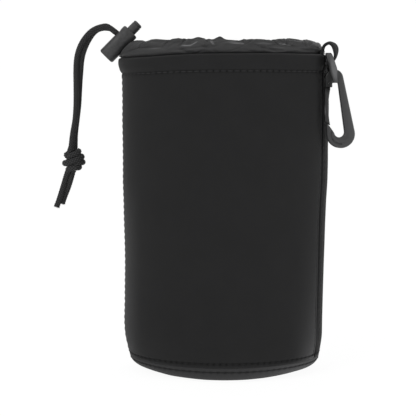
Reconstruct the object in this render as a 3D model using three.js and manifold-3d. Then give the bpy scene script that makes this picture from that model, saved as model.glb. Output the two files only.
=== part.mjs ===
// A soft lens pouch: foam-rubber walls and base, a gathered nylon collar with a drawcord and
// a push-button cord lock, and a snap hook that hangs in a tape loop at the side seam.
// Millimetres, +Z up. The origin is the centre of the resting face, and the front faces -Y.
import * as THREE from "three";
import { mergeVertices } from "three/addons/utils/BufferGeometryUtils.js";
import Module from "manifold-3d";

const wasm = await Module();
wasm.setup();

// Pouch walls: the girth is twice the flat width, and the oval opens a little towards the rim
const flatWidth = 150;
const rimHeight = 172;
const baseHalfWidth = 54.6;
const rimHalfWidth = 56.6;
const wallThickness = 3;
const panelGap = 0.3;
const leftSeamAngle = Math.PI;
const rightSeamAngle = THREE.MathUtils.degToRad(-22.5);
const panelSteps = 28;

// Base: a flat floor whose edge rolls up to the base seam, where the walls are tucked in
const seamHeight = 8;
const baseTuck = 1.2;
const tuckHeight = 12;
const baseSteps = 44;
const baseArcSteps = 4;

// Hem: the wall's top edge turned inward, with a slit left between its two layers
const hemHeight = 10;
const hemPuff = 1.2;
const hemThickness = 4.6;
const hemSlit = 0.3;
const hemRound = 1.5;
const hemFlare = 1.6;

// Cord, and how its two strands lie side by side
const cordRadius = 1.45;
const cordSides = 8;
const strandSpacing = 3.2;
const endGap = 0.3;

// Collar: thin cloth inside the hem that leans in to a channel round the drawcord
const clothThickness = 0.6;
const clothGap = 0.3;
const channelClearance = 0.4;
const channelInsetWidth = 6.8;
const channelInsetDepth = 5;
const channelRise = 5.2;
const channelHalfHeight = 2.8;
const gatherHeight = 0.7;
const gatherCounts = [9, 14];
const gatherShares = [0.6, 0.4];
const collarSteps = 60;
const channelTurnAngle = THREE.MathUtils.degToRad(17);
const channelDegrees = [-15, 15, 50, 90, 130, 170, 205, 240];
const cordTurnIn = -5.5;
const cordTurnInside = [0.2, 4.2, 0.2];
const channelRouteSteps = 20;
const loopSteps = 66;
const tunnelSteps = 34;
const overrun = 1;

// Cord lock: an oval barrel, tilted, with the cord across it and a sprung plunger in its bore
const lockLength = 19.6;
const lockHalfWidth = 4.6;
const lockHalfDepth = 5.5;
const lockRound = 0.9;
const lockSquareness = 2.6;
const lockTilt = Math.PI / 4;
const lockReach = 5.25;
const lockRise = 5.15;
const lockHoleHeight = 14.1;
const lockHoleWidth = 4.8;
const lockHoleClearance = 0.25;
const cordRise = Math.atan2(3, 4);
const boreFloor = 1.8;
const plungerHalfWidth = 2.6;
const plungerHalfDepth = 4.1;
const plungerGap = 0.3;
const plungerOut = 6;
const plungerTravel = 3;
const plungerRound = 0.6;
const plungerGrooveDrop = 1.1;
const plungerGrooveWidth = 0.5;
const plungerGrooveDepth = 0.35;
const plungerCordGap = 0.5;
const ovalSteps = 24;

// Compression spring under the plunger
const springLength = 5.4;
const springRadius = 2.1;
const springWire = 0.5;
const springTurns = 4;
const coilStepsPerTurn = 8;
const wireSides = 5;

// Tape loop: a flat tape from the hem's top, out round the eye's bar and back to the hem
const tapeWidth = 5;
const tapeThickness = 1.2;
const tapeSteps = 30;
const tapeReach = 4.1;
const tapeTop = 7.9;
const tapeBottom = 4.3;
const tapeEndGap = 1.4;
// Shares of the way from the hem to the bar in Y, of the reach, and of the rise or fall in Z
const tapeShares = [
  [0, -0.74, 0.45], [0.16, -0.45, 0.82], [0.5, 0.15, 1], [0.84, 0.72, 0.84], [0.98, 1, 0.5],
  [1, 1.02, -0.1], [1, 0.8, -0.6], [1, 0.3, -0.95], [1, -0.17, -1.08],
];
const tapeEndShares = [0.96, -1.13];

// Snap hook: an eye set across it, and a frame between a small upper and a large lower round
const eyeStandOff = 1.6;
const eyeForward = 4.2;
const eyeRise = 0.3;
const eyeBarHeight = 1.9;
const eyeHalfWidth = 4.6;
const eyeHoleHalfWidth = 3;
const eyeHoleLength = 6.8;
const eyeLength = 15.8;
const eyeFootHalfWidth = 2.9;
const eyeTilt = 3.8;
// Shares of the eye's length and of the leaf's half width there
const leafShares = [[-0.06, 0.62], [0.03, 0.75], [0.25, 0.85], [0.5, 1], [0.72, 0.95], [1, 0.5]];
const leafHalfWidth = 2.1;
const hookThickness = 5;
const hookEdge = 0.9;
const hookUpperRadius = 4.9;
const hookLowerRadius = 7.5;
const hookUpperPlace = [2.8, -12.7];
const hookLowerPlace = [6.7, -42];
const windowUpperRadius = 1.6;
const windowLowerRadius = 2.75;
const windowUpperPlace = [3.5, -15.8];
const windowLowerPlace = [5.9, -41];
const hookArcSteps = 22;
const windowArcSteps = 12;
const noseTopShare = 0.3;
const noseInsideShare = 0.7;
const noseFootShares = [0.72, 0.55];
const grooveRadius = 5.2;
const grooveDepth = 0.45;
const grooveStart = THREE.MathUtils.degToRad(165);
const grooveSweep = THREE.MathUtils.degToRad(110);
const grooveSides = 6;

// Gate of the hook, its pin and its torsion spring
const gateLeft = -1.9;
const gateWidth = 2.8;
const gateHollow = 1;
const gateTop = -17.9;
const gateTipHigh = -35.1;
const gateTipLow = -37.3;
const gateEdge = 0.4;
const gateGap = 0.7;
const gateAxis = [-0.1, -14.3];
const knuckleRadius = 1.7;
const knuckleGap = 0.3;
const tongueThickness = 1.3;
const forkWidth = 3.2;
const pinRadius = 0.7;
const pinGap = 0.15;
const pinSides = 16;
const gateSpringWire = 0.4;
const gateSpringRadius = 1.2;
const gateSpringTurns = 2;
const gateSpringPitch = 0.46;
const gateSpringLeg = 2.2;

// Knot of both strands, and the two tails below it
const knotPlace = [-82.9, 0, 116.1];
const knotRadii = [6.2, 5.6, 6];
const knotLobeShare = 0.1;
const knotLobes = 3;
const knotTwist = 5;
const knotSegments = 16;

// Routes of the cord beyond the lock: x, z and the turn of the two strands round each other
const strandRoute = [
  [-59, 185.3, 0], [-61.1, 186.9, 0], [-63.2, 188.4, 0], [-66.6, 189.9, 6], [-70.4, 188.6, 16],
  [-73.9, 185.2, 26], [-77, 180, 36], [-79, 174, 44], [-80, 167.5, 46], [-80.4, 161, 40],
  [-80.6, 154, 30], [-80.9, 146, 20], [-81.7, 138, 12], [-82.9, 130, 22], [-83.5, 122.6, 40],
];
const tailRoute = [
  [-85.1, 109.7, 46], [-86.2, 106, 46], [-87.6, 101.5, 46], [-89.2, 97, 46], [-90.9, 92.2, 46],
  [-91.8, 89.8, 46],
];
const strandSteps = 28;
const tailSteps = 8;

// Colours, as hexadecimal sRGB
const foamColor = 0x2a2a2b;
const nylonColor = 0x454546;
const cordColor = 0x2c2c2d;
const lockColor = 0x525253;
const hookColor = 0x4a4a4b;
const gateColor = 0x303031;
const tapeColor = 0x262627;
const steelColor = 0xb4b4b6;

function finished(geometry) {
  const bare = geometry.clone();
  bare.deleteAttribute("normal");
  bare.deleteAttribute("uv");
  const merged = mergeVertices(bare);
  const place = merged.getAttribute("position");
  const index = Array.from(merged.getIndex().array);
  const corner = index.map((i) => new THREE.Vector3().fromBufferAttribute(place, i));
  let volume = 0;
  for (let i = 0; i < corner.length; i += 3) {
    volume += corner[i].dot(corner[i + 1].clone().cross(corner[i + 2]));
  }
  merged.setIndex(volume < 0 ? index.reverse() : index);
  return merged;
}

function toSolid(geometry) {
  const closed = finished(geometry);
  return new wasm.Manifold(new wasm.Mesh({
    numProp: 3,
    vertProperties: new Float32Array(closed.getAttribute("position").array),
    triVerts: new Uint32Array(closed.getIndex().array),
  }));
}

function toGeometry(solid) {
  const shape = solid.getMesh();
  const places = [];
  for (let i = 0; i < shape.vertProperties.length; i += shape.numProp) {
    places.push(...shape.vertProperties.slice(i, i + 3));
  }
  const geometry = new THREE.BufferGeometry();
  geometry.setAttribute("position", new THREE.Float32BufferAttribute(places, 3));
  geometry.setIndex(Array.from(shape.triVerts));
  return geometry;
}

function fromFaces(points, faces) {
  const geometry = new THREE.BufferGeometry();
  const places = points.flatMap((point) => point.toArray());
  geometry.setAttribute("position", new THREE.Float32BufferAttribute(places, 3));
  geometry.setIndex(faces.flat());
  return geometry;
}

function capFaces(outline) {
  const turn = Math.sign(THREE.ShapeUtils.area(outline));
  return THREE.ShapeUtils.triangulateShape(outline, []).map(([a, b, c]) => {
    const same = Math.sign(THREE.ShapeUtils.area([outline[a], outline[b], outline[c]])) === turn;
    return same ? [a, b, c] : [a, c, b];
  });
}

// Skin over a row of like sections, joined end to start, or capped with the flat outline given
function loft(sections, capOutline) {
  const size = sections[0].length;
  const spans = capOutline ? sections.length - 1 : sections.length;
  const faces = [];
  for (let i = 0; i < spans; i += 1) {
    const here = i * size;
    const next = ((i + 1) % sections.length) * size;
    for (let j = 0; j < size; j += 1) {
      const k = (j + 1) % size;
      faces.push([here + j, next + j, next + k], [here + j, next + k, here + k]);
    }
  }
  if (capOutline) {
    const last = spans * size;
    for (const [a, b, c] of capFaces(capOutline)) {
      faces.push([a, b, c], [last + a, last + c, last + b]);
    }
  }
  return fromFaces(sections.flat(), faces);
}

// Skin over a stack of rings that closes to a point at each end
function stack(firstPole, rings, lastPole) {
  const size = rings[0].length;
  const points = [firstPole, ...rings.flat(), lastPole];
  const last = points.length - 1;
  const faces = [];
  for (let j = 0; j < size; j += 1) {
    const k = (j + 1) % size;
    faces.push([0, 1 + j, 1 + k], [last, last - size + k, last - size + j]);
    for (let i = 0; i < rings.length - 1; i += 1) {
      const here = 1 + i * size;
      const next = here + size;
      faces.push([here + j, next + j, next + k], [here + j, next + k, here + k]);
    }
  }
  return fromFaces(points, faces);
}

function circlePoints(radius, sides) {
  return Array.from({ length: sides }, (_, i) => {
    const angle = (i / sides) * 2 * Math.PI;
    return new THREE.Vector2(radius * Math.cos(angle), radius * Math.sin(angle));
  });
}

function cordAlong(points, radius, steps, sides = cordSides) {
  const path = new THREE.CatmullRomCurve3(points, false, "centripetal");
  path.arcLengthDivisions = 20 * steps;
  const section = new THREE.Shape(circlePoints(radius, sides));
  return new THREE.ExtrudeGeometry(section, { steps, extrudePath: path });
}

// Plates cut from a flat outline: one lies across Y and the other across X
const acrossY = new THREE.Matrix4().makeBasis(
  new THREE.Vector3(1, 0, 0), new THREE.Vector3(0, 0, 1), new THREE.Vector3(0, -1, 0));
const acrossX = new THREE.Matrix4().makeBasis(
  new THREE.Vector3(0, 1, 0), new THREE.Vector3(0, 0, 1), new THREE.Vector3(1, 0, 0));

function plate(shape, thickness, edge = 0) {
  const geometry = new THREE.ExtrudeGeometry(shape, {
    depth: thickness - 2 * edge,
    bevelEnabled: edge > 0,
    bevelThickness: edge,
    bevelSize: edge,
    bevelOffset: -edge,
    bevelSegments: 2,
  });
  return geometry.translate(0, 0, -(thickness - 2 * edge) / 2);
}

function plateAcrossY(shape, thickness, middleY, edge = 0) {
  return plate(shape, thickness, edge).applyMatrix4(acrossY).translate(0, middleY, 0);
}

function plateAcrossX(shape, thickness, middleX) {
  return plate(shape, thickness).applyMatrix4(acrossX).translate(middleX, 0, 0);
}

// Outline of a slot with round ends, longer along the second axis
function slotOutline(middleX, middleY, halfWidth, halfLength, steps = 8) {
  const straight = halfLength - halfWidth;
  const points = [];
  for (const side of [0, 1]) {
    for (let i = 0; i <= steps; i += 1) {
      const angle = Math.PI * (side + i / steps);
      const middle = middleY + (side ? -straight : straight);
      points.push(new THREE.Vector2(
        middleX + halfWidth * Math.cos(angle), middle + halfWidth * Math.sin(angle)));
    }
  }
  return new THREE.Shape(points);
}

// Outline of a tight band round two circles, the lower one first
function bandOutline(lower, lowerRadius, upper, upperRadius, steps) {
  const span = upper.clone().sub(lower);
  const lean = Math.acos((lowerRadius - upperRadius) / span.length());
  const arcs = [
    [lower, lowerRadius, span.angle() + lean, 2 * (Math.PI - lean)],
    [upper, upperRadius, span.angle() - lean, 2 * lean],
  ];
  return arcs.flatMap(([middle, radius, start, sweep]) =>
    Array.from({ length: steps + 1 }, (_, i) => {
      const angle = start + (i / steps) * sweep;
      return new THREE.Vector2(Math.cos(angle), Math.sin(angle)).multiplyScalar(radius).add(middle);
    }));
}

// The oval of the pouch: its half depth is what the girth leaves for the half width
function girth(halfWidth, halfDepth) {
  const lean = ((halfWidth - halfDepth) / (halfWidth + halfDepth)) ** 2;
  return Math.PI * (halfWidth + halfDepth) * (1 + (3 * lean) / (10 + Math.sqrt(4 - 3 * lean)));
}

function halfDepthFor(halfWidth) {
  let low = 0;
  let high = halfWidth;
  for (let i = 0; i < 40; i += 1) {
    const middle = (low + high) / 2;
    if (girth(halfWidth, middle) < 2 * flatWidth) {
      low = middle;
    } else {
      high = middle;
    }
  }
  return low;
}

const baseHalfDepth = halfDepthFor(baseHalfWidth);
const rimHalfDepth = halfDepthFor(rimHalfWidth);

function wallPoint(angle, height, offset) {
  const rise = height / rimHeight;
  const halfWidth = THREE.MathUtils.lerp(baseHalfWidth, rimHalfWidth, rise);
  const halfDepth = THREE.MathUtils.lerp(baseHalfDepth, rimHalfDepth, rise);
  const outward = new THREE.Vector2(Math.cos(angle) / halfWidth, Math.sin(angle) / halfDepth);
  outward.normalize().multiplyScalar(offset);
  return new THREE.Vector3(
    halfWidth * Math.cos(angle) + outward.x, halfDepth * Math.sin(angle) + outward.y, height);
}

// Half a panel gap as an angle, so that the seam is as wide all the way round
function gapAngle(angle) {
  const speed = Math.hypot(rimHalfWidth * Math.sin(angle), rimHalfDepth * Math.cos(angle));
  return panelGap / 2 / speed;
}

function tuckAt(height) {
  const rise = Math.min(1, (height - seamHeight) / tuckHeight);
  return -baseTuck * (1 - rise) ** 2;
}

const hemFoot = rimHeight - hemHeight;
const hemInside = hemPuff - hemThickness;
const foldMiddle = (hemPuff + hemInside) / 2;

// Section of a wall as offsets from the oval and heights: up the outside, over the turned hem,
// down its inner layer, up the slit between the layers and down the inside of the wall
function panelSection() {
  const foot = seamHeight + panelGap / 2;
  const tuckMiddle = seamHeight + tuckHeight / 3;
  const tuckTop = seamHeight + tuckHeight;
  const slitTop = rimHeight - hemThickness / 2;
  return [
    [tuckAt(foot), foot],
    [tuckAt(tuckMiddle), tuckMiddle],
    [0, tuckTop],
    [0, hemFoot - hemFlare],
    [hemPuff, hemFoot + hemFlare],
    [hemPuff, rimHeight - hemRound],
    [hemPuff - hemRound, rimHeight],
    [hemInside + hemRound, rimHeight],
    [hemInside, rimHeight - hemRound],
    [hemInside, hemFoot - hemRound / 2],
    [foldMiddle - hemSlit / 2, hemFoot - hemRound / 2],
    [foldMiddle - hemSlit / 2, slitTop],
    [foldMiddle + hemSlit / 2, slitTop],
    [foldMiddle + hemSlit / 2, hemFoot - hemRound],
    [-wallThickness, hemFoot - 2 * hemRound],
    [-wallThickness, tuckTop],
    [tuckAt(tuckMiddle) - wallThickness, tuckMiddle],
    [tuckAt(foot) - wallThickness, foot],
  ];
}

function panel(fromAngle, toAngle) {
  const section = panelSection();
  const start = fromAngle + gapAngle(fromAngle);
  const end = toAngle - gapAngle(toAngle);
  const sections = Array.from({ length: panelSteps + 1 }, (_, i) => {
    const angle = THREE.MathUtils.lerp(start, end, i / panelSteps);
    return section.map(([offset, height]) => wallPoint(angle, height, offset));
  });
  return loft(sections, section.map(([offset, height]) => new THREE.Vector2(offset, height)));
}

function basePanel() {
  const top = seamHeight - panelGap / 2;
  const insideRadius = seamHeight - wallThickness;
  const profile = [];
  for (let i = 0; i <= baseArcSteps; i += 1) {
    const angle = (i / baseArcSteps) * (Math.PI / 2);
    const height = Math.min(top, seamHeight * (1 - Math.cos(angle)));
    profile.push([-baseTuck - seamHeight * (1 - Math.sin(angle)), height]);
  }
  for (let i = baseArcSteps; i >= 0; i -= 1) {
    const angle = (i / baseArcSteps) * (Math.PI / 2);
    const height = Math.min(top, seamHeight - insideRadius * Math.cos(angle));
    profile.push([-baseTuck - seamHeight + insideRadius * Math.sin(angle), height]);
  }
  const rings = profile.map(([offset, height]) =>
    Array.from({ length: baseSteps }, (_, i) =>
      wallPoint((i / baseSteps) * 2 * Math.PI, height, offset)));
  return stack(new THREE.Vector3(0, 0, 0), rings, new THREE.Vector3(0, 0, wallThickness));
}

// Middle of the collar's channel: an oval inside the rim's that rises and falls
const channelHalfWidth = rimHalfWidth - channelInsetWidth;
const channelHalfDepth = rimHalfDepth - channelInsetDepth;
const channelHeight = rimHeight + channelRise;

function channelPoint(angle) {
  const wave = gatherCounts.reduce((sum, count, i) =>
    sum + gatherShares[i] * Math.sin(count * angle + i + 1), 0);
  return new THREE.Vector3(
    channelHalfWidth * Math.cos(angle),
    channelHalfDepth * Math.sin(angle),
    channelHeight + gatherHeight * wave);
}

const tunnelRadius = cordRadius + channelClearance;
const channelHalfThickness = tunnelRadius + clothThickness;

function collarSection(angle) {
  const outside = hemInside - clothGap;
  const foot = hemFoot - hemRound / 2;
  const bend = rimHeight + clothGap;
  const middle = channelPoint(angle);
  const outward = new THREE.Vector3(
    Math.cos(angle) / channelHalfWidth, Math.sin(angle) / channelHalfDepth, 0).normalize();
  const channel = channelDegrees.map((degrees) => {
    const turn = THREE.MathUtils.degToRad(degrees);
    const point = middle.clone().addScaledVector(outward, channelHalfThickness * Math.cos(turn));
    point.z += channelHalfHeight * Math.sin(turn);
    return point;
  });
  return [
    wallPoint(angle, foot, outside),
    wallPoint(angle, bend, outside),
    ...channel,
    wallPoint(angle, bend - clothThickness, outside - clothThickness),
    wallPoint(angle, foot, outside - clothThickness),
  ];
}

// The cord lock's place: the middle of its cord hole, out from the channel's left end
const channelEnd = new THREE.Vector3(-channelHalfWidth, 0, channelHeight);
const lockMiddle = channelEnd.clone().add(new THREE.Vector3(-lockReach, 0, lockRise));
const cordLine = new THREE.Vector3(-Math.cos(cordRise), 0, Math.sin(cordRise));
const lockAxis = new THREE.Vector3(Math.sin(lockTilt), 0, Math.cos(lockTilt));
const lockFoot = lockMiddle.clone().addScaledVector(lockAxis, -lockHoleHeight);

function onCordLine(distance, side) {
  const point = lockMiddle.clone().addScaledVector(cordLine, distance);
  point.y = (side * strandSpacing) / 2;
  return point;
}

// Half of the cord's way through the lock, into the channel and round to its far side
function channelRoute(side, stepsPast = 0) {
  const points = [lockHalfWidth, 0, cordTurnIn].map((distance) => onCordLine(distance, side));
  const [turnX, turnY, turnZ] = cordTurnInside;
  points.push(channelEnd.clone().add(new THREE.Vector3(turnX, side * turnY, turnZ)));
  const start = Math.PI - channelTurnAngle;
  for (let i = 0; i <= channelRouteSteps + stepsPast; i += 1) {
    points.push(channelPoint(side * start * (1 - i / channelRouteSteps)));
  }
  return points;
}

function collar() {
  const sections = Array.from({ length: collarSteps }, (_, i) =>
    collarSection((i / collarSteps) * 2 * Math.PI));
  let solid = toSolid(loft(sections));
  for (const side of [-1, 1]) {
    const tunnel = cordAlong(channelRoute(side, 1), tunnelRadius, tunnelSteps);
    solid = solid.subtract(toSolid(tunnel));
  }
  return toGeometry(solid);
}

function drawcordLoop() {
  const back = channelRoute(1).reverse();
  return cordAlong([...channelRoute(-1), ...back.slice(1)], cordRadius, loopSteps);
}

// One strand of a free stretch: the two strands lie either side of the route and turn round it
function strandPoints(route, side) {
  return route.map(([x, z, degrees], i) => {
    const before = route[Math.max(0, i - 1)];
    const after = route[Math.min(route.length - 1, i + 1)];
    const along = new THREE.Vector2(after[0] - before[0], after[1] - before[1]).normalize();
    const turn = THREE.MathUtils.degToRad(degrees);
    const aside = (side * strandSpacing * Math.sin(turn)) / 2;
    return new THREE.Vector3(
      x - aside * along.y, (side * strandSpacing * Math.cos(turn)) / 2, z + aside * along.x);
  });
}

// The right tail is cut a little shorter than the left one
const rightTail = strandPoints(tailRoute.slice(0, -1), 1);

function cordKnot() {
  const middle = new THREE.Vector3(...knotPlace);
  const rings = [];
  const at = (fall, round) => {
    const turned = knotLobes * round + knotTwist * fall;
    const lobes = 1 + knotLobeShare * Math.sin(fall) ** 2 * Math.cos(turned);
    return new THREE.Vector3(
      Math.sin(fall) * Math.cos(round), Math.sin(fall) * Math.sin(round), Math.cos(fall))
      .multiplyScalar(lobes).multiply(new THREE.Vector3(...knotRadii)).add(middle);
  };
  for (let i = 1; i < knotSegments; i += 1) {
    rings.push(Array.from({ length: knotSegments }, (_, j) =>
      at((i / knotSegments) * Math.PI, (j / knotSegments) * 2 * Math.PI)));
  }
  return stack(at(0, 0), rings, at(Math.PI, 0));
}

// A rounded oval ring of the cord lock, at a height along it
function ovalRing(halfWidth, halfDepth, height) {
  return Array.from({ length: ovalSteps }, (_, i) => {
    const angle = (i / ovalSteps) * 2 * Math.PI;
    const reach = (value) => Math.sign(value) * Math.abs(value) ** (2 / lockSquareness);
    return new THREE.Vector3(
      halfWidth * reach(Math.cos(angle)), halfDepth * reach(Math.sin(angle)), height);
  });
}

function ovalBody(halfWidth, halfDepth, profile) {
  const rings = profile.map(([inset, height]) =>
    ovalRing(halfWidth - inset, halfDepth - inset, height));
  const bottom = new THREE.Vector3(0, 0, profile[0][1]);
  const top = new THREE.Vector3(0, 0, profile[profile.length - 1][1]);
  return stack(bottom, rings, top);
}

const holeHalfDepth = strandSpacing / 2 + cordRadius + lockHoleClearance;
const boreHalfWidth = plungerHalfWidth + plungerGap;
const boreHalfDepth = plungerHalfDepth + plungerGap;

function cordHole(low, high) {
  const middle = (low + high) / 2;
  const outline = [
    [-holeHalfDepth, low + lockRound], [-holeHalfDepth + lockRound, low],
    [holeHalfDepth - lockRound, low], [holeHalfDepth, low + lockRound],
    [holeHalfDepth, high - lockRound], [holeHalfDepth - lockRound, high],
    [-holeHalfDepth + lockRound, high], [-holeHalfDepth, high - lockRound],
  ].map(([y, z]) => new THREE.Vector2(y, z - middle));
  const across = 2 * (lockHalfWidth + overrun);
  return toSolid(plateAcrossX(new THREE.Shape(outline), across, 0).translate(0, 0, middle));
}

function lockBarrel() {
  const corner = lockRound * (1 - Math.SQRT1_2);
  const body = ovalBody(lockHalfWidth, lockHalfDepth, [
    [lockRound, 0], [corner, corner], [0, lockRound],
    [0, lockLength - lockRound], [corner, lockLength - corner], [lockRound, lockLength],
  ]);
  const bore = ovalBody(boreHalfWidth, boreHalfDepth, [[0, boreFloor], [0, lockLength + overrun]]);
  const low = lockHoleHeight - lockHoleWidth / 2;
  const high = lockHoleHeight + lockHoleWidth / 2;
  return toGeometry(toSolid(body).subtract(toSolid(bore)).subtract(cordHole(low, high)));
}

const plungerFoot = boreFloor + springLength + 2 * endGap;

function lockPlunger() {
  const top = lockLength + plungerOut;
  const groove = top - plungerGrooveDrop;
  const body = ovalBody(plungerHalfWidth, plungerHalfDepth, [
    [plungerRound, plungerFoot], [0, plungerFoot + plungerRound],
    [0, groove - plungerGrooveWidth], [plungerGrooveDepth, groove - plungerGrooveWidth / 2],
    [0, groove], [0, top - plungerRound], [plungerRound, top],
  ]);
  const holeFoot = lockHoleHeight - cordRadius - plungerCordGap;
  const holeTop = lockHoleHeight + lockHoleWidth / 2 + plungerTravel;
  return toGeometry(toSolid(body).subtract(cordHole(holeFoot, holeTop)));
}

// Middle line of a spring wound along Z from the origin
function springCoil(radius, turns, pitch) {
  return Array.from({ length: turns * coilStepsPerTurn + 1 }, (_, i) => {
    const turned = i / coilStepsPerTurn;
    const angle = turned * 2 * Math.PI;
    return new THREE.Vector3(radius * Math.cos(angle), radius * Math.sin(angle), turned * pitch);
  });
}

function lockSpring() {
  const pitch = (springLength - springWire) / springTurns;
  const coil = springCoil(springRadius, springTurns, pitch);
  const foot = boreFloor + endGap + springWire / 2;
  return cordAlong(coil, springWire / 2, coil.length, wireSides).translate(0, 0, foot);
}

// The hook hangs from the middle of its eye's top bar, out from the hem at the right seam
const seamPoint = wallPoint(rightSeamAngle, rimHeight, hemPuff);
const eyeBar = new THREE.Vector3(
  seamPoint.x + eyeStandOff, seamPoint.y - eyeForward, rimHeight + eyeRise);

function fromBar([x, z]) {
  return new THREE.Vector2(eyeBar.x + x, eyeBar.z + z);
}

// Tape: its middle line from the hem's top, out over and round the bar, and back to the seam
const hemTopMiddle = wallPoint(rightSeamAngle, rimHeight, foldMiddle);
const tapeEnd = wallPoint(rightSeamAngle, rimHeight - hemHeight / 2, hemPuff);

function tapePoints() {
  const start = hemTopMiddle.clone().add(new THREE.Vector3(0, 0, endGap));
  const at = (x, acrossShare, riseShare) => new THREE.Vector3(
    x,
    THREE.MathUtils.lerp(start.y, eyeBar.y, acrossShare),
    eyeBar.z + riseShare * (riseShare > 0 ? tapeTop : tapeBottom));
  const round = tapeShares.map(([acrossShare, reachShare, riseShare]) =>
    at(eyeBar.x + reachShare * tapeReach, acrossShare, riseShare));
  return [start, ...round, at(tapeEnd.x + tapeEndGap - tapeThickness, ...tapeEndShares)];
}

function tapeLoop() {
  const path = new THREE.CatmullRomCurve3(tapePoints(), false, "centripetal");
  const across = new THREE.Vector3(0, 1, 0);
  const outline = [[-1, -1], [1, -1], [1, 1], [-1, 1]];
  const sections = Array.from({ length: tapeSteps + 1 }, (_, i) => {
    const middle = path.getPointAt(i / tapeSteps);
    const along = path.getTangentAt(i / tapeSteps);
    const wide = across.clone().addScaledVector(along, -across.dot(along)).normalize();
    const thick = along.clone().cross(wide);
    return outline.map(([w, t]) => middle.clone()
      .addScaledVector(wide, (w * tapeWidth) / 2)
      .addScaledVector(thick, (t * tapeThickness) / 2));
  });
  return loft(sections, outline.map(([w, t]) => new THREE.Vector2(w, t)));
}

// Eye: a leaf in side view and a ring from the front
function eyeLeaf() {
  const leftSide = [];
  const rightSide = [];
  for (const [along, wide] of leafShares) {
    const middle = fromBar([along * eyeTilt, -along * (eyeLength - eyeBarHeight / 2)]);
    leftSide.push(new THREE.Vector2(middle.x - wide * leafHalfWidth, middle.y));
    rightSide.unshift(new THREE.Vector2(middle.x + wide * leafHalfWidth, middle.y));
  }
  return new THREE.Shape([...leftSide, ...rightSide]);
}

function eyeRing() {
  const top = eyeBar.z + eyeBarHeight / 2;
  const foot = top - eyeLength;
  const points = [];
  for (let i = 0; i <= hookArcSteps / 2; i += 1) {
    const angle = (2 * i * Math.PI) / hookArcSteps;
    points.push([eyeHalfWidth * Math.cos(angle), top - eyeHalfWidth * (1 - Math.sin(angle))]);
  }
  const shoulder = top - eyeBarHeight - eyeHoleLength;
  points.push([-eyeHalfWidth, shoulder], [-eyeFootHalfWidth, foot]);
  points.push([eyeFootHalfWidth, foot], [eyeHalfWidth, shoulder]);
  return new THREE.Shape(points.map(([y, z]) => new THREE.Vector2(eyeBar.y + y, z)));
}

function eyeHole() {
  const middle = eyeBar.z - eyeBarHeight / 2 - eyeHoleLength / 2;
  return slotOutline(eyeBar.y, middle, eyeHoleHalfWidth, eyeHoleLength / 2);
}

// The open side of the hook, between the arm that holds the gate and the nose below it
const noseTop = [gateLeft - gateGap, gateTipHigh + gateGap * noseTopShare];
const noseInside = [gateLeft + gateWidth - gateGap * noseInsideShare, gateTipLow - gateGap / 2];
const noseFoot = windowLowerPlace.map((value, i) => value - noseFootShares[i] * windowLowerRadius);

function hookGap() {
  const top = gateTop + gateGap;
  const left = windowUpperPlace[0] - windowUpperRadius;
  return new THREE.Shape([
    [noseTop[0] - overrun, noseTop[1] + overrun], noseTop, noseInside, noseFoot,
    windowLowerPlace, windowUpperPlace, [left, top], [noseTop[0] - overrun, top],
  ].map(fromBar));
}

function forkSlot() {
  const reach = knuckleRadius + knuckleGap;
  const left = gateLeft - overrun;
  const right = gateAxis[0] + reach;
  const top = gateAxis[1] + reach;
  return new THREE.Shape([
    [left - overrun, gateTop], [right, gateTop], [right, top - knuckleRadius / 2],
    [right - knuckleRadius / 2, top], [left - overrun, top],
  ].map(fromBar));
}

function pinBody(radius, length) {
  const outline = new THREE.Shape(circlePoints(radius, pinSides));
  const middle = fromBar(gateAxis);
  return plateAcrossY(outline, length, eyeBar.y).translate(middle.x, 0, middle.y);
}

function noseGroove(side) {
  const middle = fromBar(hookLowerPlace);
  const points = Array.from({ length: hookArcSteps }, (_, i) => {
    const angle = grooveStart + (i / (hookArcSteps - 1)) * grooveSweep;
    return new THREE.Vector3(
      middle.x + grooveRadius * Math.cos(angle),
      eyeBar.y + (side * hookThickness) / 2,
      middle.y + grooveRadius * Math.sin(angle));
  });
  return cordAlong(points, grooveDepth, hookArcSteps, grooveSides);
}

function clipFrame() {
  const outer = new THREE.Shape(bandOutline(
    fromBar(hookLowerPlace), hookLowerRadius,
    fromBar(hookUpperPlace), hookUpperRadius, hookArcSteps));
  outer.holes.push(new THREE.Path(bandOutline(
    fromBar(windowLowerPlace), windowLowerRadius,
    fromBar(windowUpperPlace), windowUpperRadius, windowArcSteps)));
  const body = toSolid(plateAcrossY(outer, hookThickness, eyeBar.y, hookEdge));
  const leaf = toSolid(plateAcrossY(eyeLeaf(), 2 * eyeHalfWidth, eyeBar.y));
  const deep = 4 * hookUpperRadius;
  const ring = toSolid(plateAcrossX(eyeRing(), deep, eyeBar.x));
  const hole = toSolid(plateAcrossX(eyeHole(), deep, eyeBar.x));
  const wide = hookThickness + 2 * overrun;
  return toGeometry(body.add(leaf.intersect(ring)).subtract(hole)
    .subtract(toSolid(plateAcrossY(hookGap(), wide, eyeBar.y)))
    .subtract(toSolid(plateAcrossY(forkSlot(), forkWidth, eyeBar.y)))
    .subtract(toSolid(pinBody(pinRadius + pinGap, wide)))
    .subtract(toSolid(noseGroove(1)))
    .subtract(toSolid(noseGroove(-1))));
}

const tongueMiddle = eyeBar.y + forkWidth / 2 - knuckleGap / 2 - tongueThickness / 2;

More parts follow.
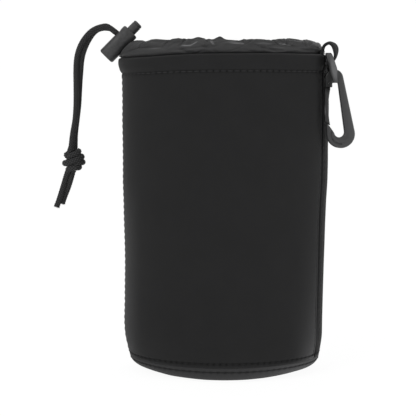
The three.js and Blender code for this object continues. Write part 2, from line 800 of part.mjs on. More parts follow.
function clipGate() {
  const right = gateLeft + gateWidth;
  const blade = new THREE.Shape();
  const start = fromBar([gateLeft, gateTop]);
  const tipHigh = fromBar([gateLeft, gateTipHigh]);
  const tipLow = fromBar([right, gateTipLow]);
  const corner = fromBar([right, gateTop]);
  const hollow = fromBar([right - 2 * gateHollow, (gateTop + gateTipLow) / 2]);
  blade.moveTo(start.x, start.y);
  blade.lineTo(tipHigh.x, tipHigh.y);
  blade.lineTo(tipLow.x, tipLow.y);
  blade.quadraticCurveTo(hollow.x, hollow.y, corner.x, corner.y);
  const knuckle = fromBar(gateAxis);
  const tongue = new THREE.Shape();
  tongue.absarc(knuckle.x, knuckle.y, knuckleRadius, 0, Math.PI, false);
  tongue.lineTo(knuckle.x - knuckleRadius, start.y - overrun);
  tongue.lineTo(knuckle.x + knuckleRadius / 2, start.y - overrun);
  const bladeSolid = toSolid(plateAcrossY(blade, hookThickness, eyeBar.y, gateEdge));
  const tongueSolid = toSolid(plateAcrossY(tongue, tongueThickness, tongueMiddle));
  const pinHole = toSolid(pinBody(pinRadius + pinGap, hookThickness + 2 * overrun));
  return toGeometry(bladeSolid.add(tongueSolid).subtract(pinHole));
}

function gateSpring() {
  const coil = springCoil(gateSpringRadius, gateSpringTurns, gateSpringPitch);
  const first = coil[0];
  const last = coil[coil.length - 1];
  const points = [
    new THREE.Vector3(first.x, first.y - gateSpringLeg, first.z), ...coil,
    new THREE.Vector3(last.x, last.y + gateSpringLeg / 2, last.z),
  ];
  const knuckle = fromBar(gateAxis);
  const front = tongueMiddle - tongueThickness / 2 - knuckleGap - gateSpringWire / 2;
  return cordAlong(points, gateSpringWire / 2, 2 * coil.length, wireSides)
    .applyMatrix4(acrossY).translate(knuckle.x, front, knuckle.y);
}

function material(color, roughness, metalness = 0) {
  return new THREE.MeshStandardMaterial({ color, roughness, metalness });
}

const foam = material(foamColor, 0.95);
const nylon = material(nylonColor, 0.6);
const braid = material(cordColor, 0.9);
const lockPlastic = material(lockColor, 0.45);
const hookPlastic = material(hookColor, 0.4);
const gatePlastic = material(gateColor, 0.4);
const webbing = material(tapeColor, 0.9);
const steel = material(steelColor, 0.3, 1);

const pouch = new THREE.Group();

function add(name, geometry, look, parent = pouch) {
  const mesh = new THREE.Mesh(finished(geometry), look);
  mesh.name = name;
  mesh.geometry.computeVertexNormals();
  parent.add(mesh);
}

add("front_panel", panel(-leftSeamAngle, rightSeamAngle), foam);
add("back_panel", panel(rightSeamAngle, leftSeamAngle), foam);
add("base_panel", basePanel(), foam);
add("collar", collar(), nylon);
add("drawcord_loop", drawcordLoop(), braid);
add("cord_strand_front", cordAlong(strandPoints(strandRoute, -1), cordRadius, strandSteps), braid);
add("cord_strand_back", cordAlong(strandPoints(strandRoute, 1), cordRadius, strandSteps), braid);
add("cord_knot", cordKnot(), braid);
add("cord_tail_left", cordAlong(strandPoints(tailRoute, -1), cordRadius, tailSteps), braid);
add("cord_tail_right", cordAlong(rightTail, cordRadius, tailSteps), braid);
add("tape_loop", tapeLoop(), webbing);
add("clip_frame", clipFrame(), hookPlastic);
add("clip_gate", clipGate(), gatePlastic);
add("gate_pin", pinBody(pinRadius, hookThickness - 2 * pinGap), steel);
add("gate_spring", gateSpring(), steel);

const lock = new THREE.Group();
lock.position.copy(lockFoot);
lock.rotation.y = lockTilt;
pouch.add(lock);
add("lock_barrel", lockBarrel(), lockPlastic, lock);
add("lock_plunger", lockPlunger(), lockPlastic, lock);
add("lock_spring", lockSpring(), steel, lock);

export default pouch;
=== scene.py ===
import math

import bmesh
import bpy
import numpy as np
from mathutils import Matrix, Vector, noise


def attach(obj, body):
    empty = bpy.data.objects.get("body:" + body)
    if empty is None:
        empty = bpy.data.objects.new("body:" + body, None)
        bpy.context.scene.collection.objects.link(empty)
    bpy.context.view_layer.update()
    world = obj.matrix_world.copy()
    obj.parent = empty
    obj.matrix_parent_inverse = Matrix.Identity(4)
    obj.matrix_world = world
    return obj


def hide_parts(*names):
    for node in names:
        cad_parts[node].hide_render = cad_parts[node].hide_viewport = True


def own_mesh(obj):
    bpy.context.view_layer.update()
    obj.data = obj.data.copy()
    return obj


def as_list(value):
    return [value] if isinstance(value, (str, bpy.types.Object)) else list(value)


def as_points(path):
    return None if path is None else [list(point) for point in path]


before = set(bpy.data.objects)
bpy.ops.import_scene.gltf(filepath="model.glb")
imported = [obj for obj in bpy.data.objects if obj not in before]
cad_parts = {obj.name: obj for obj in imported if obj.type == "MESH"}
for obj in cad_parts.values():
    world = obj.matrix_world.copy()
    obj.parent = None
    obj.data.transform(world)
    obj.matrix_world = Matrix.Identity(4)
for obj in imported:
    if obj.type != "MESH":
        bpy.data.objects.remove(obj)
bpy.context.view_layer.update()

# Tables below are in millimetres and degrees; Blender works in metres
mm = 0.001

# Camera, at the photograph's viewing angle
cameraView = {
    "place": (-9, -575, 134), "pitchDown": 4.45, "focalPixels": 1040, "imagePixels": 416, "sensor": 36,
}


def addObject(name, data):
    made = bpy.data.objects.new(name, data)
    bpy.context.scene.collection.objects.link(made)
    return made


cameraData = bpy.data.cameras.new("studioCamera")
cameraData.sensor_width = cameraView["sensor"]
cameraData.lens = cameraView["focalPixels"] / cameraView["imagePixels"] * cameraView["sensor"]
camera = addObject("studioCamera", cameraData)
camera.location = [value * mm for value in cameraView["place"]]
camera.rotation_euler = (math.radians(90 - cameraView["pitchDown"]), 0, 0)
bpy.context.scene.camera = camera


# Helpers for objects and meshes
def activate(piece):
    bpy.ops.object.select_all(action="DESELECT")
    piece.select_set(True)
    bpy.context.view_layer.objects.active = piece


def newPiece(name, points, faces):
    mesh = bpy.data.meshes.new(name)
    mesh.from_pydata([tuple(point) for point in points], [], faces)
    mesh.polygons.foreach_set("use_smooth", [True] * len(mesh.polygons))
    shape = bmesh.new()
    shape.from_mesh(mesh)
    bmesh.ops.recalc_face_normals(shape, faces=shape.faces)
    shape.to_mesh(mesh)
    shape.free()
    return addObject(name, mesh)


def applyModifiers(piece):
    activate(piece)
    for modifier in list(piece.modifiers):
        bpy.ops.object.modifier_apply(modifier=modifier.name)


def setUv(piece, uvOfVertex):
    layer = piece.data.uv_layers.new(name="clothUv")
    corners = np.empty(len(piece.data.loops), dtype=np.int32)
    piece.data.loops.foreach_get("vertex_index", corners)
    layer.data.foreach_set("uv", np.asarray(uvOfVertex, dtype=np.float32)[corners].ravel())


def setMask(piece, name, values):
    mask = piece.data.attributes.new(name, "FLOAT", "POINT")
    mask.data.foreach_set("value", np.asarray(values, dtype=np.float32))


# A piece from points that each bring their place in the cloth and their mask of painted shade, at the needle
# holes, seam joints, hem step and shaded strip
def clothPiece(name, points, faces):
    vertices, uvs, masks = zip(*points)
    piece = newPiece(name, vertices, faces)
    setUv(piece, uvs)
    setMask(piece, "clothShade", masks)
    return piece


# Quads between rings of equal size that follow one another
def ringFaces(first, rings, size):
    faces = []
    for here in range(first, first + (rings - 1) * size, size):
        for j in range(size):
            k = (j + 1) % size
            faces.append((here + j, here + k, here + size + k, here + size + j))
    return faces


def cappedFaces(first, rings, size):
    ends = [tuple(range(start, start + size)) for start in (first, first + (rings - 1) * size)]
    return ringFaces(first, rings, size) + ends


# One ring of a tube, with a radius for each of its sides
def ringPoints(middle, side, up, radii):
    points = []
    for j, radius in enumerate(radii):
        turn = j / len(radii) * 2 * math.pi
        points.append(middle + side * (radius * math.cos(turn)) + up * (radius * math.sin(turn)))
    return points


def smoothstep(low, high, value):
    share = min(1, max(0, (value - low) / (high - low)))
    return share * share * (3 - 2 * share)


# Rises from low to full and falls again from drop to end
def plateau(low, full, drop, end, value):
    return smoothstep(low, full, value) * (1 - smoothstep(drop, end, value))


def bump(value, middle, width):
    return math.exp(-((value - middle) / width) ** 2)


def bumps(values, middle, width):
    return np.exp(-((values - middle) / width) ** 2)


def alongTable(table, value):
    return float(np.interp(value, [row[0] for row in table], [row[1] for row in table]))


# Positions from low to high, closer together near the places given
def spread(low, high, places, coarse, fine, reach):
    found = [low]
    while found[-1] < high:
        near = any(abs(found[-1] - place) < reach for place in places)
        found.append(found[-1] + (fine if near else coarse))
    found[-1] = high
    return found


# The point that lies at t, where one point is at low and the other at high
def between(first, second, low, high, t):
    return first * ((high - t) / (high - low)) + second * ((t - low) / (high - low))


# A smooth route through points, as evenly spaced steps
def splineRoute(points, spacing, parts=24):
    points = [Vector(point) for point in points]
    points = [2 * points[0] - points[1]] + points + [2 * points[-1] - points[-2]]
    dense = []
    for i in range(1, len(points) - 2):
        p0, p1, p2, p3 = points[i - 1:i + 3]
        t1 = max(math.sqrt((p1 - p0).length), 1e-6)
        t2 = t1 + max(math.sqrt((p2 - p1).length), 1e-6)
        t3 = t2 + max(math.sqrt((p3 - p2).length), 1e-6)
        for step in range(parts):
            t = t1 + (t2 - t1) * step / parts
            middle = between(p1, p2, t1, t2, t)
            before = between(between(p0, p1, 0, t1, t), middle, 0, t2, t)
            after = between(middle, between(p2, p3, t2, t3, t), t1, t3, t)
            dense.append(between(before, after, t1, t2, t))
    dense.append(points[-2])
    reach = [0]
    for first, second in zip(dense, dense[1:]):
        reach.append(reach[-1] + (second - first).length)
    count = max(2, round(reach[-1] / spacing))
    targets = np.linspace(0, reach[-1], count + 1)
    even = np.stack([
        np.interp(targets, reach, [point[axis] for point in dense]) for axis in range(3)], axis=1)
    return [Vector(point) for point in even]


def alongRoute(route, i):
    return (route[min(len(route) - 1, i + 1)] - route[max(0, i - 1)]).normalized()


# Round tube along a route; radiusAt gives the radius for a step and a share of the turn
def tubePiece(name, route, sides, radiusAt):
    vertices = []
    side = alongRoute(route, 0).orthogonal().normalized()
    for i, point in enumerate(route):
        along = alongRoute(route, i)
        side = (side - along * side.dot(along)).normalized()
        radii = [radiusAt(i, j / sides) for j in range(sides)]
        vertices += ringPoints(point, side, along.cross(side), radii)
    faces = ringFaces(0, len(route), sides)
    for end in (0, len(route) - 1):
        vertices.append(route[end])
        for j in range(sides):
            faces.append((len(vertices) - 1, end * sides + (j + 1) % sides, end * sides + j))
    return newPiece(name, vertices, faces)


# Braided cord: six yarns each way cross over and under one another in the mesh itself
braid = {
    "radius": 1.42, "yarns": 6, "pitch": 8.6, "relief": 0.42, "crossing": 5, "sides": 40, "ring": 0.24,
    "flareReach": 0.9,
}


def braidHeight(turn, along):
    first = math.sin(math.pi * braid["yarns"] * (turn + along / braid["pitch"]))
    second = math.sin(math.pi * braid["yarns"] * (turn - along / braid["pitch"]))
    over = 0.5 + 0.5 * math.tanh(braid["crossing"] * first * second)
    ridgeOne = abs(first) * (0.5 + 0.5 * abs(second))
    ridgeTwo = abs(second) * (0.5 + 0.5 * abs(first))
    return ridgeOne * over + ridgeTwo * (1 - over)


def braidedCord(
        name, points, radius=braid["radius"], ring=braid["ring"], sides=braid["sides"], flare=0):
    route = splineRoute([Vector(point) * mm for point in points], ring * mm)
    heights = []

    def radiusAt(i, turn):
        height = braidHeight(turn, i * ring)
        heights.append(height)
        fromEnd = (len(route) - 1 - i) * ring
        swell = flare * math.exp(-fromEnd / braid["flareReach"])
        return (radius + swell + braid["relief"] * (height - 0.5)) * mm

    piece = tubePiece(name, route, sides, radiusAt)
    setMask(piece, "braidHeight", heights + [0, 0])
    return piece, route


# The free cord's two strands: x, z and their turn round each other, in degrees
strandSpacing = 2.85
strandRoute = [
    (-59, 185.3, 0), (-60.6, 186.51, 0), (-62.2, 187.7, 0), (-64.5, 188.5, 14), (-67, 188.3, 10),
    (-69.6, 187.5, 10), (-72.3, 185.7, 22), (-75, 182.5, 40), (-77.2, 178.8, 56), (-78.8, 174.7, 64),
    (-79.7, 170.5, 64), (-80.2, 164, 52), (-80.4, 159.1, 38), (-80.6, 153, 28), (-80.9, 146, 20),
    (-81.7, 138, 12), (-82.9, 130, 22), (-83.5, 122.6, 40),
]
tailRoute = [
    (-85, 109.9, 62), (-86.2, 106, 86), (-87.6, 101.5, 70), (-89.2, 97, 52), (-90.9, 92.2, 44),
    (-91.8, 89.8, 44),
]
tailFlare = 0.2


def strandPoints(route, side):
    points = []
    for i, (x, z, degrees) in enumerate(route):
        before = route[max(0, i - 1)]
        after = route[min(len(route) - 1, i + 1)]
        along = Vector((after[0] - before[0], after[1] - before[1])).normalized()
        turn = math.radians(degrees)
        aside = side * strandSpacing * math.sin(turn) / 2
        points.append(Vector((
            x - aside * along.y, side * strandSpacing * math.cos(turn) / 2, z + aside * along.x)))
    return points


strandFront, strandFrontPath = braidedCord("strandFront", strandPoints(strandRoute, -1))
strandBack, strandBackPath = braidedCord("strandBack", strandPoints(strandRoute, 1))
tailLeft, tailLeftPath = braidedCord("tailLeft", strandPoints(tailRoute, -1), flare=tailFlare)
tailRight, tailRightPath = braidedCord("tailRight", strandPoints(tailRoute[:-1], 1), flare=tailFlare)

# Knot: the pair's middle line round it, and how far the strands lie to each side of that line
knotBand = {
    "middle": (-82.9, 0, 116.1),
    "radius": 1.58,
    "turns": [
        (-1.6, -1, 4.4, 0.9, 0.6, 0.7), (-3.1, 0.6, 2.9, 1.1, 0, 0.5),
        (-1.4, 2.9, 2.9, 0.2, -0.7, 1.2), (2.3, 2.4, 3.1, -0.5, -0.5, 1.4),
        (3.2, -0.6, 2.9, -0.9, 0, 1.5), (2.2, -2.9, 2.1, -0.3, 0.3, 1.5),
        (-1.2, -3.6, 0.5, -0.2, 0.2, 1.5), (-3.6, -1.8, -0.9, 0.9, 0.5, 1),
        (-3.4, 1.4, -1.4, 1.2, 0, 0.6), (-0.8, 3.4, -2.2, 0.3, -0.7, 1.2),
        (2.8, 2.2, -2.7, 0.8, 0, 1.3), (3.5, -0.8, -2.8, 1, 0.1, 1.4),
        (1.8, -3, -3, 0.3, 0.2, 1.3), (-1, -2, -4.1, 1, 0.6, 0.4),
    ],
}


def knotRoute(side):
    middle = Vector(knotBand["middle"])
    turns = [middle + Vector(row[:3]) + side * Vector(row[3:]) for row in knotBand["turns"]]
    return [strandPoints(strandRoute, side)[-1]] + turns + [strandPoints(tailRoute, side)[0]]


knotFront, _ = braidedCord("knotFrontStrand", knotRoute(-1), knotBand["radius"])
knotBack, _ = braidedCord("knotBackStrand", knotRoute(1), knotBand["radius"])

# Cut ends of the cord: fine loose fibres
fray = {
    "count": 90, "length": (0.4, 1), "radius": 0.11, "taper": 0.7, "lean": (-0.2, 0.45), "sway": (-0.3, 0.3),
    "curl": (-0.5, 0.5), "innermost": 0.02, "sunk": 0.3, "height": 0.45, "steps": 4, "sides": 3,
}
rng = np.random.default_rng(11)


def frayedEnd(name, path):
    vertices = []
    faces = []
    along = (path[-1] - path[-4]).normalized()
    side = along.orthogonal().normalized()
    up = along.cross(side)
    for _ in range(fray["count"]):
        angle = rng.uniform(0, 2 * math.pi)
        reach = braid["radius"] * math.sqrt(rng.uniform(fray["innermost"], 1)) * mm
        out = side * math.cos(angle) + up * math.sin(angle)
        start = path[-1] + out * reach - along * (fray["sunk"] * mm)
        lean = out * rng.uniform(*fray["lean"])
        lean += side * rng.uniform(*fray["sway"]) + up * rng.uniform(*fray["sway"])
        curl = out.cross(along) * rng.uniform(*fray["curl"])
        length = rng.uniform(*fray["length"]) * mm
        faces += cappedFaces(len(vertices), fray["steps"] + 1, fray["sides"])
        for step in range(fray["steps"] + 1):
            share = step / fray["steps"]
            middle = start + (along + lean * share + curl * share * share) * (length * share)
            thin = fray["radius"] * mm * (1 - fray["taper"] * share)
            vertices += ringPoints(middle, side, up, [thin] * fray["sides"])
    piece = newPiece(name, vertices, faces)
    setMask(piece, "braidHeight", [fray["height"]] * len(vertices))
    return piece


fibresLeft = frayedEnd("fibresLeft", tailLeftPath)
fibresRight = frayedEnd("fibresRight", tailRightPath)
print("cords made")

# The oval of the pouch, as the solids have it: the girth is twice the flat width
pouchShape = {
    "flatWidth": 150, "rimHeight": 172, "baseHalfWidth": 54.6, "rimHalfWidth": 56.6,
    "leftSeam": -180, "rightSeam": -22.5,
}


def girth(halfWidth, halfDepth):
    lean = ((halfWidth - halfDepth) / (halfWidth + halfDepth)) ** 2
    return math.pi * (halfWidth + halfDepth) * (1 + 3 * lean / (10 + math.sqrt(4 - 3 * lean)))


def halfDepthFor(halfWidth):
    low, high = 0, halfWidth
    for _ in range(40):
        middle = (low + high) / 2
        if girth(halfWidth, middle) < 2 * pouchShape["flatWidth"]:
            low = middle
        else:
            high = middle
    return low


baseHalfDepth = halfDepthFor(pouchShape["baseHalfWidth"])
rimHalfDepth = halfDepthFor(pouchShape["rimHalfWidth"])

# How the soft wall leaves the plain oval: pulled in or out at its two sides, gently uneven, its
# rim a little higher to the right and the ends of its base a little off the ground. Its cloth is
# paler with painted light at the foot of the right side and along the left side, and darker with
# painted shade in the strip behind the right side seam
softWall = {
    "leftPull": [
        (6, -0.8), (13, -0.5), (17.4, 0.1), (21.8, 0.5), (27.4, 0.6), (38.4, 0.15), (49.5, 0),
        (60.5, -0.2), (71.6, -0.27), (93.7, -0.4), (104.8, 0), (138, 0), (149, -0.35), (165, -0.35),
    ],
    "rightPull": [
        (6, -0.45), (13, -0.5), (19.6, -0.1), (49.5, 0), (60.5, 0.1), (71.6, 0.33), (93.7, 0.6),
        (104.8, 1.1), (116, 1.3), (138, 1), (160, 0.4),
    ],
    "rimRise": [
        (-57, 0), (-53, -1.2), (-40, -1.3), (-28, -0.8), (-13, -0.4), (8, -0.3), (39, 0.2), (50, 0.7),
    ],
    "rimReach": (150, 172),
    "baseRise": [
        (-54, 2.5), (-51, 2.4), (-45, 2.1), (-38, 1.5), (-32, 0.9), (-22, 0.5), (-12, 0.1), (0, 0),
        (12, 0.1), (23, 0.5), (30, 0.9), (36, 1.3), (42, 1.7), (54, 1.9),
    ],
    "baseReach": 10,
    "unevenness": 0.55,
    "unevenSize": 38,
    "unevenReach": (8, 40, 140, 165),
    "paleRight": (30, 55),
    "paleFoot": (10, 18),
    "paleLeft": (44, 56, 0.2),
    "paleLeftTop": (70, 110),
    "darkStrip": ((40, 48), (-14.7, -14, 12, 28), 0.75),
}


def baseRise(x, height):
    return alongTable(softWall["baseRise"], x) * max(0, 1 - height / softWall["baseReach"])


# Painted shade: the strip behind the right side seam, turned away from the light, is darkened in colour
def stripShade(point):
    across, depth, amount = softWall["darkStrip"]
    return amount * smoothstep(*across, point.x / mm) * plateau(*depth, point.y / mm)


# Painted light: the cloth is paler at the foot of the right side and along the left side
def paintedWallLight(point):
    x, height = point.x / mm, point.z / mm
    foot, fall = softWall["paleFoot"]
    right = smoothstep(*softWall["paleRight"], x) ** 2 * math.exp((foot - height) / fall)
    low, high, amount = softWall["paleLeft"]
    left = amount * smoothstep(low, high, -x) * (1 - smoothstep(*softWall["paleLeftTop"], height))
    return min(1, right + left) * (1 - stripShade(point))


def ovalOutward(angle, halfWidth, halfDepth):
    return Vector((math.cos(angle) / halfWidth, math.sin(angle) / halfDepth, 0)).normalized()


def wallPoint(angle, height, offset, soft=True):
    rise = height / pouchShape["rimHeight"]
    halfWidth = pouchShape["baseHalfWidth"] * (1 - rise) + pouchShape["rimHalfWidth"] * rise
    halfDepth = baseHalfDepth * (1 - rise) + rimHalfDepth * rise
    point = Vector((halfWidth * math.cos(angle), halfDepth * math.sin(angle), height))
    if soft:
        offset += max(0, math.cos(angle)) ** 2 * alongTable(softWall["rightPull"], height)
        offset += max(0, -math.cos(angle)) ** 2 * alongTable(softWall["leftPull"], height)
        fade = plateau(*softWall["unevenReach"], height)
        offset += softWall["unevenness"] * fade * noise.noise(point / softWall["unevenSize"])
        point.z += alongTable(softWall["rimRise"], point.x) * smoothstep(*softWall["rimReach"], height)
        point.z += baseRise(point.x, height)
    return (point + ovalOutward(angle, halfWidth, halfDepth) * offset) * mm


# Needle rows: one each side of the side seams, one above and one below the base seam, one
# under the hem. Each row sinks into the foam, deepest at the needle holes
seams = {
    "pitch": 3.4, "depth": 0.13, "holeDepth": 0.46, "width": 0.75, "betweenHoles": 0.06,
    "sideRow": 2.3, "sideShare": 0.45, "sideTop": 169, "aboveBase": 10.2, "belowBase": 5.6,
    "underHem": 162.9, "jointDepth": 0.75, "jointWidth": 0.7, "baseJoint": 0.12,
}
wall = {
    "thickness": 3, "seamHeight": 8, "seamGap": 0.01, "tuck": 1.2, "tuckHeight": 12, "arcHeight": 90,
    "arcParts": 721,
}
hem = {
    "puff": 1.1, "puffRise": 3.7, "puffLeft": 0.9, "puffMiddle": 169, "puffReach": 3.6, "thickness": 4.6,
    "round": 2, "squareness": 0.75, "foot": 161.4, "footStep": (0.5, 0.6, 0.4), "underFoot": 1.2,
}
# Mesh of a panel: the gap at its ends, coarse and fine steps with the fine ones' reach, rows
panelMesh = {
    "ends": 0.08, "across": (1.1, 0.36, 1.7), "upward": (1.2, 0.36, 1.5), "hemRows": 12, "foldRows": 5,
    "insideRows": 26,
}
# Cloth this long, in millimetres, is one unit of its own coordinates
uvSpan = 100


def tuckAt(height):
    rise = min(1, max(0, (height - wall["seamHeight"]) / wall["tuckHeight"]))
    return -wall["tuck"] * (1 - rise) ** 2


def puffAt(angle, height):
    left = hem["puffLeft"] * max(0, -math.cos(angle)) ** 6
    left *= bump(height, hem["puffMiddle"], hem["puffReach"])
    return hem["puff"] * smoothstep(seams["underHem"], seams["underHem"] + hem["puffRise"], height) + left


# Depth and hole mask of a needle row, from the distance to it and the place along it; the mask is painted
# shade in the needle holes
def rowSink(distance, stitches):
    near = bump(distance, 0, seams["width"])
    hole = 0.5 + 0.5 * math.cos(stitches * 2 * math.pi)
    shade = seams["betweenHoles"] + (1 - seams["betweenHoles"]) * hole ** 2
    return near * (seams["depth"] + seams["holeDepth"] * hole), near * shade


def outerSurface(angle, height, arc, length):
    fromSeam = min(arc, length - arc)
    stitchesRound = arc / length * round(length / seams["pitch"])
    stitchesUp = (height - seams["aboveBase"]) / seams["pitch"]
    offset = tuckAt(height) + puffAt(angle, height)
    mask = 0
    rows = [(height - seams[row], stitchesRound, 1) for row in ("aboveBase", "underHem")]
    if seams["aboveBase"] < height < seams["sideTop"]:
        rows.append((fromSeam - seams["sideRow"], stitchesUp, seams["sideShare"]))
    for distance, stitches, share in rows:
        sink, hole = rowSink(distance, stitches)
        offset -= share * sink
        mask = max(mask, share * hole)
    # The seam joint sinks, and its mask darkens it with painted shade in the groove
    joint = bump(fromSeam, 0, seams["jointWidth"])
    return offset - joint * seams["jointDepth"], max(mask, joint)


# A function that gives the angle at a place along a panel, and the panel's length
def panelArc(fromDegrees, toDegrees):
    angles = np.linspace(math.radians(fromDegrees), math.radians(toDegrees), wall["arcParts"])
    points = np.array([wallPoint(angle, wall["arcHeight"], 0, False) for angle in angles]) / mm
    reach = np.concatenate([[0], np.cumsum(np.linalg.norm(np.diff(points, axis=0), axis=1))])
    return lambda arc: float(np.interp(arc, reach, angles)), reach[-1]


def panelPiece(name, fromDegrees, toDegrees):
    angleAt, length = panelArc(fromDegrees, toDegrees)
    rowPlaces = [0, seams["sideRow"], length - seams["sideRow"], length]
    arcs = spread(panelMesh["ends"], length - panelMesh["ends"], rowPlaces, *panelMesh["across"])
    low = wall["seamHeight"] + wall["seamGap"]
    top = pouchShape["rimHeight"] - hem["round"]
    foot = hem["foot"]
    heights = spread(low, top, [seams["aboveBase"], seams["underHem"]], *panelMesh["upward"])
    inner = hem["puff"] - hem["thickness"]
    stepIn, stepShade, stepDown = hem["footStep"]
    points = []
    for arc in arcs:
        angle = angleAt(arc)
        column = [(*outerSurface(angle, height, arc, length), height) for height in heights]
        outer = column[-1][0]
        for k in range(1, panelMesh["hemRows"]):
            turn = math.pi * k / panelMesh["hemRows"]
            offset = (outer + inner) / 2 + (outer - inner) / 2 * math.cos(turn)
            column.append((offset, 0, top + hem["round"] * math.sin(turn) ** hem["squareness"]))
        for k in range(panelMesh["foldRows"] + 1):
            column.append((inner, 0, top + (foot - top) * k / panelMesh["foldRows"]))
        column.append((inner + stepIn, stepShade, foot - stepDown))
        for height in np.linspace(foot - hem["underFoot"], low, panelMesh["insideRows"]):
            column.append((tuckAt(height) - wall["thickness"], 0, float(height)))
        for offset, mask, height in column:
            point = wallPoint(angle, height, offset)
            # The mask also takes the painted shade of the strip behind the right side seam
            points.append((point, (arc / uvSpan, height / uvSpan), max(mask, stripShade(point))))
    piece = clothPiece(name, points, cappedFaces(0, len(arcs), len(column)))
    setMask(piece, "paintedLight", [paintedWallLight(point) for point, _, _ in points])
    return piece


panelSpans = [
    ("frontWall", pouchShape["leftSeam"], pouchShape["rightSeam"]),
    ("backWall", pouchShape["rightSeam"], 360 + pouchShape["leftSeam"]),
]
frontWall, backWall = [panelPiece(*span) for span in panelSpans]
print("walls made")

# Base: a flat floor whose rolled edge rises to the base seam, with painted light paler to the right
base = {
    "roll": 8, "columns": 420, "arcSteps": 22, "innerSteps": 8, "floorShares": [0.85, 0.6, 0.3],
    "paintedLightRight": (5, 52),
}


# The rolled edge's offset and height, for a depth in the foam and a share of the quarter turn
def rolledEdge(depth, share):
    angle = share * math.pi / 2
    height = wall["seamHeight"] - (wall["seamHeight"] - depth) * math.cos(angle)
    offset = -wall["tuck"] - base["roll"] + (base["roll"] - depth) * math.sin(angle)
    return offset, min(wall["seamHeight"] - wall["seamGap"], height)


def basePiece():
    columns = base["columns"]
    around = 2 * pouchShape["flatWidth"]
    profile = [(*rolledEdge(0, i / base["arcSteps"]), 1) for i in range(base["arcSteps"] + 1)]
    for i in range(base["innerSteps"], -1, -1):
        profile.append((*rolledEdge(wall["thickness"], i / base["innerSteps"]), 0))
    points = []
    for offset, height, outside in profile:
        # The base seam's joint sinks, and with the needle holes it is darkened with painted shade
        joint = bump(height, wall["seamHeight"], seams["jointWidth"]) * seams["baseJoint"]
        for j in range(columns):
            stitches = j / columns * round(around / seams["pitch"])
            sink, hole = rowSink(height - seams["belowBase"], stitches)
            sink = outside * (sink + joint * seams["jointDepth"])
            point = wallPoint(j / columns * 2 * math.pi, height, offset - sink)
            place = (j / columns * around / uvSpan, height / uvSpan)
            points.append((point, place, outside * max(hole, joint)))
    faces = ringFaces(0, len(profile), columns)
    for ring, height in ((0, 0), (len(profile) - 1, wall["thickness"])):
        last = ring * columns
        edge = [point for point, _, _ in points[last:last + columns]]
        for share in base["floorShares"] + [0]:
            start = len(points)
            for point in edge if share else edge[:1]:
                x, y = point.x * share, point.y * share
                rise = (height + baseRise(x / mm, height)) * mm
                points.append((Vector((x, y, rise)), (x / mm / uvSpan, y / mm / uvSpan), 0))
            for j in range(columns):
                k = (j + 1) % columns
                ahead = (start + k, start + j) if share else (start,)
                faces.append((last + j, last + k) + ahead)
            last = start
    piece = clothPiece("basePanel", points, faces)
    # Painted light: the base is paler towards the right
    paintedLight = [smoothstep(*base["paintedLightRight"], point.x / mm) for point, _, _ in points]
    setMask(piece, "paintedLight", paintedLight)
    return piece


basePanel = basePiece()
print("base made")

# Threads: one short stitch between each two needle holes, sunk at both ends
thread = {
    "radius": 0.21, "share": 0.86, "sink": 0.28, "roundness": 0.6, "ends": 0.6, "sides": 6, "steps": 6,
    "lift": 0.12, "baseFacing": 5,
}


def stitchPiece(name, places):
    vertices = []
    faces = []
    for start, end, outward in places:
        along = end - start
        across = along.cross(outward).normalized()
        faces += cappedFaces(len(vertices), thread["steps"] + 1, thread["sides"])
        for i in range(thread["steps"] + 1):
            share = i / thread["steps"]
            rise = math.sin(math.pi * share) ** thread["roundness"]
            centre = (start + end) / 2 + along * ((share - 0.5) * thread["share"])
            centre -= outward * (thread["sink"] * (1 - rise) * mm)
            reach = thread["radius"] * mm * (thread["ends"] + (1 - thread["ends"]) * rise)
            vertices += ringPoints(centre, across, outward, [reach] * thread["sides"])
    return newPiece(name, vertices, faces)


def linkedPlaces(points, outwards):
    return [
        (start, end, (first + second).normalized())
        for start, end, first, second in zip(points, points[1:], outwards, outwards[1:])]


def outwardAt(angle, height):
    return (wallPoint(angle, height, 1, False) - wallPoint(angle, height, 0, False)).normalized()


def findStitches():
    hemPlaces = []
    basePlaces = []
    sidePlaces = []
    pitch = seams["pitch"]
    rest = thread["lift"] - seams["depth"]
    for _, fromDegrees, toDegrees in panelSpans:
        angleAt, length = panelArc(fromDegrees, toDegrees)
        count = round(length / pitch)
        stops = [angleAt(length * i / count) for i in range(count + 1)]
        outwards = [outwardAt(angle, wall["arcHeight"]) for angle in stops]
        for height, found in ((seams["underHem"], hemPlaces), (seams["aboveBase"], basePlaces)):
            points = [wallPoint(angle, height, tuckAt(height) + rest) for angle in stops]
            found += linkedPlaces(points, outwards)
        for arc in (seams["sideRow"], length - seams["sideRow"]):
            angle = angleAt(arc)
            rows = int((seams["sideTop"] - seams["aboveBase"]) / pitch)
            rise = [seams["aboveBase"] + pitch * i for i in range(rows + 1)]
            points = [
                wallPoint(angle, height, tuckAt(height) + puffAt(angle, height) + rest) for height in rise]
            sidePlaces += linkedPlaces(points, [outwardAt(angle, height) for height in rise])
    count = round(2 * pouchShape["flatWidth"] / pitch)
    stops = [2 * math.pi * i / count for i in range(count + 1)]
    turn = math.acos(1 - seams["belowBase"] / wall["seamHeight"])
    edge = -wall["tuck"] - base["roll"] * (1 - math.sin(turn))
    down = Vector((0, 0, -math.cos(turn)))
    facing = [outwardAt(angle, thread["baseFacing"]) * math.sin(turn) + down for angle in stops]
    basePlaces += linkedPlaces(
        [wallPoint(angle, seams["belowBase"], edge + rest) for angle in stops],
        [outward.normalized() for outward in facing])
    return hemPlaces, basePlaces, sidePlaces


hemStitches, baseStitches, sideStitches = [
    stitchPiece(name, places)
    for name, places in zip(("hemStitches", "baseStitches", "sideStitches"), findStitches())]
print("stitches made")

# Collar: gathered cloth that swells up out of the hem, over the drawcord and down inside
channel = {
    "inset": (6.8, 5), "height": 176.6, "halfThickness": 2.45, "halfHeight": 2.8,
    "waves": [(9, 1, 0.42), (14, 2, 0.28)], "frontFrom": (0.05, -0.25),
}
channelHalf = (pouchShape["rimHalfWidth"] - channel["inset"][0], rimHalfDepth - channel["inset"][1])
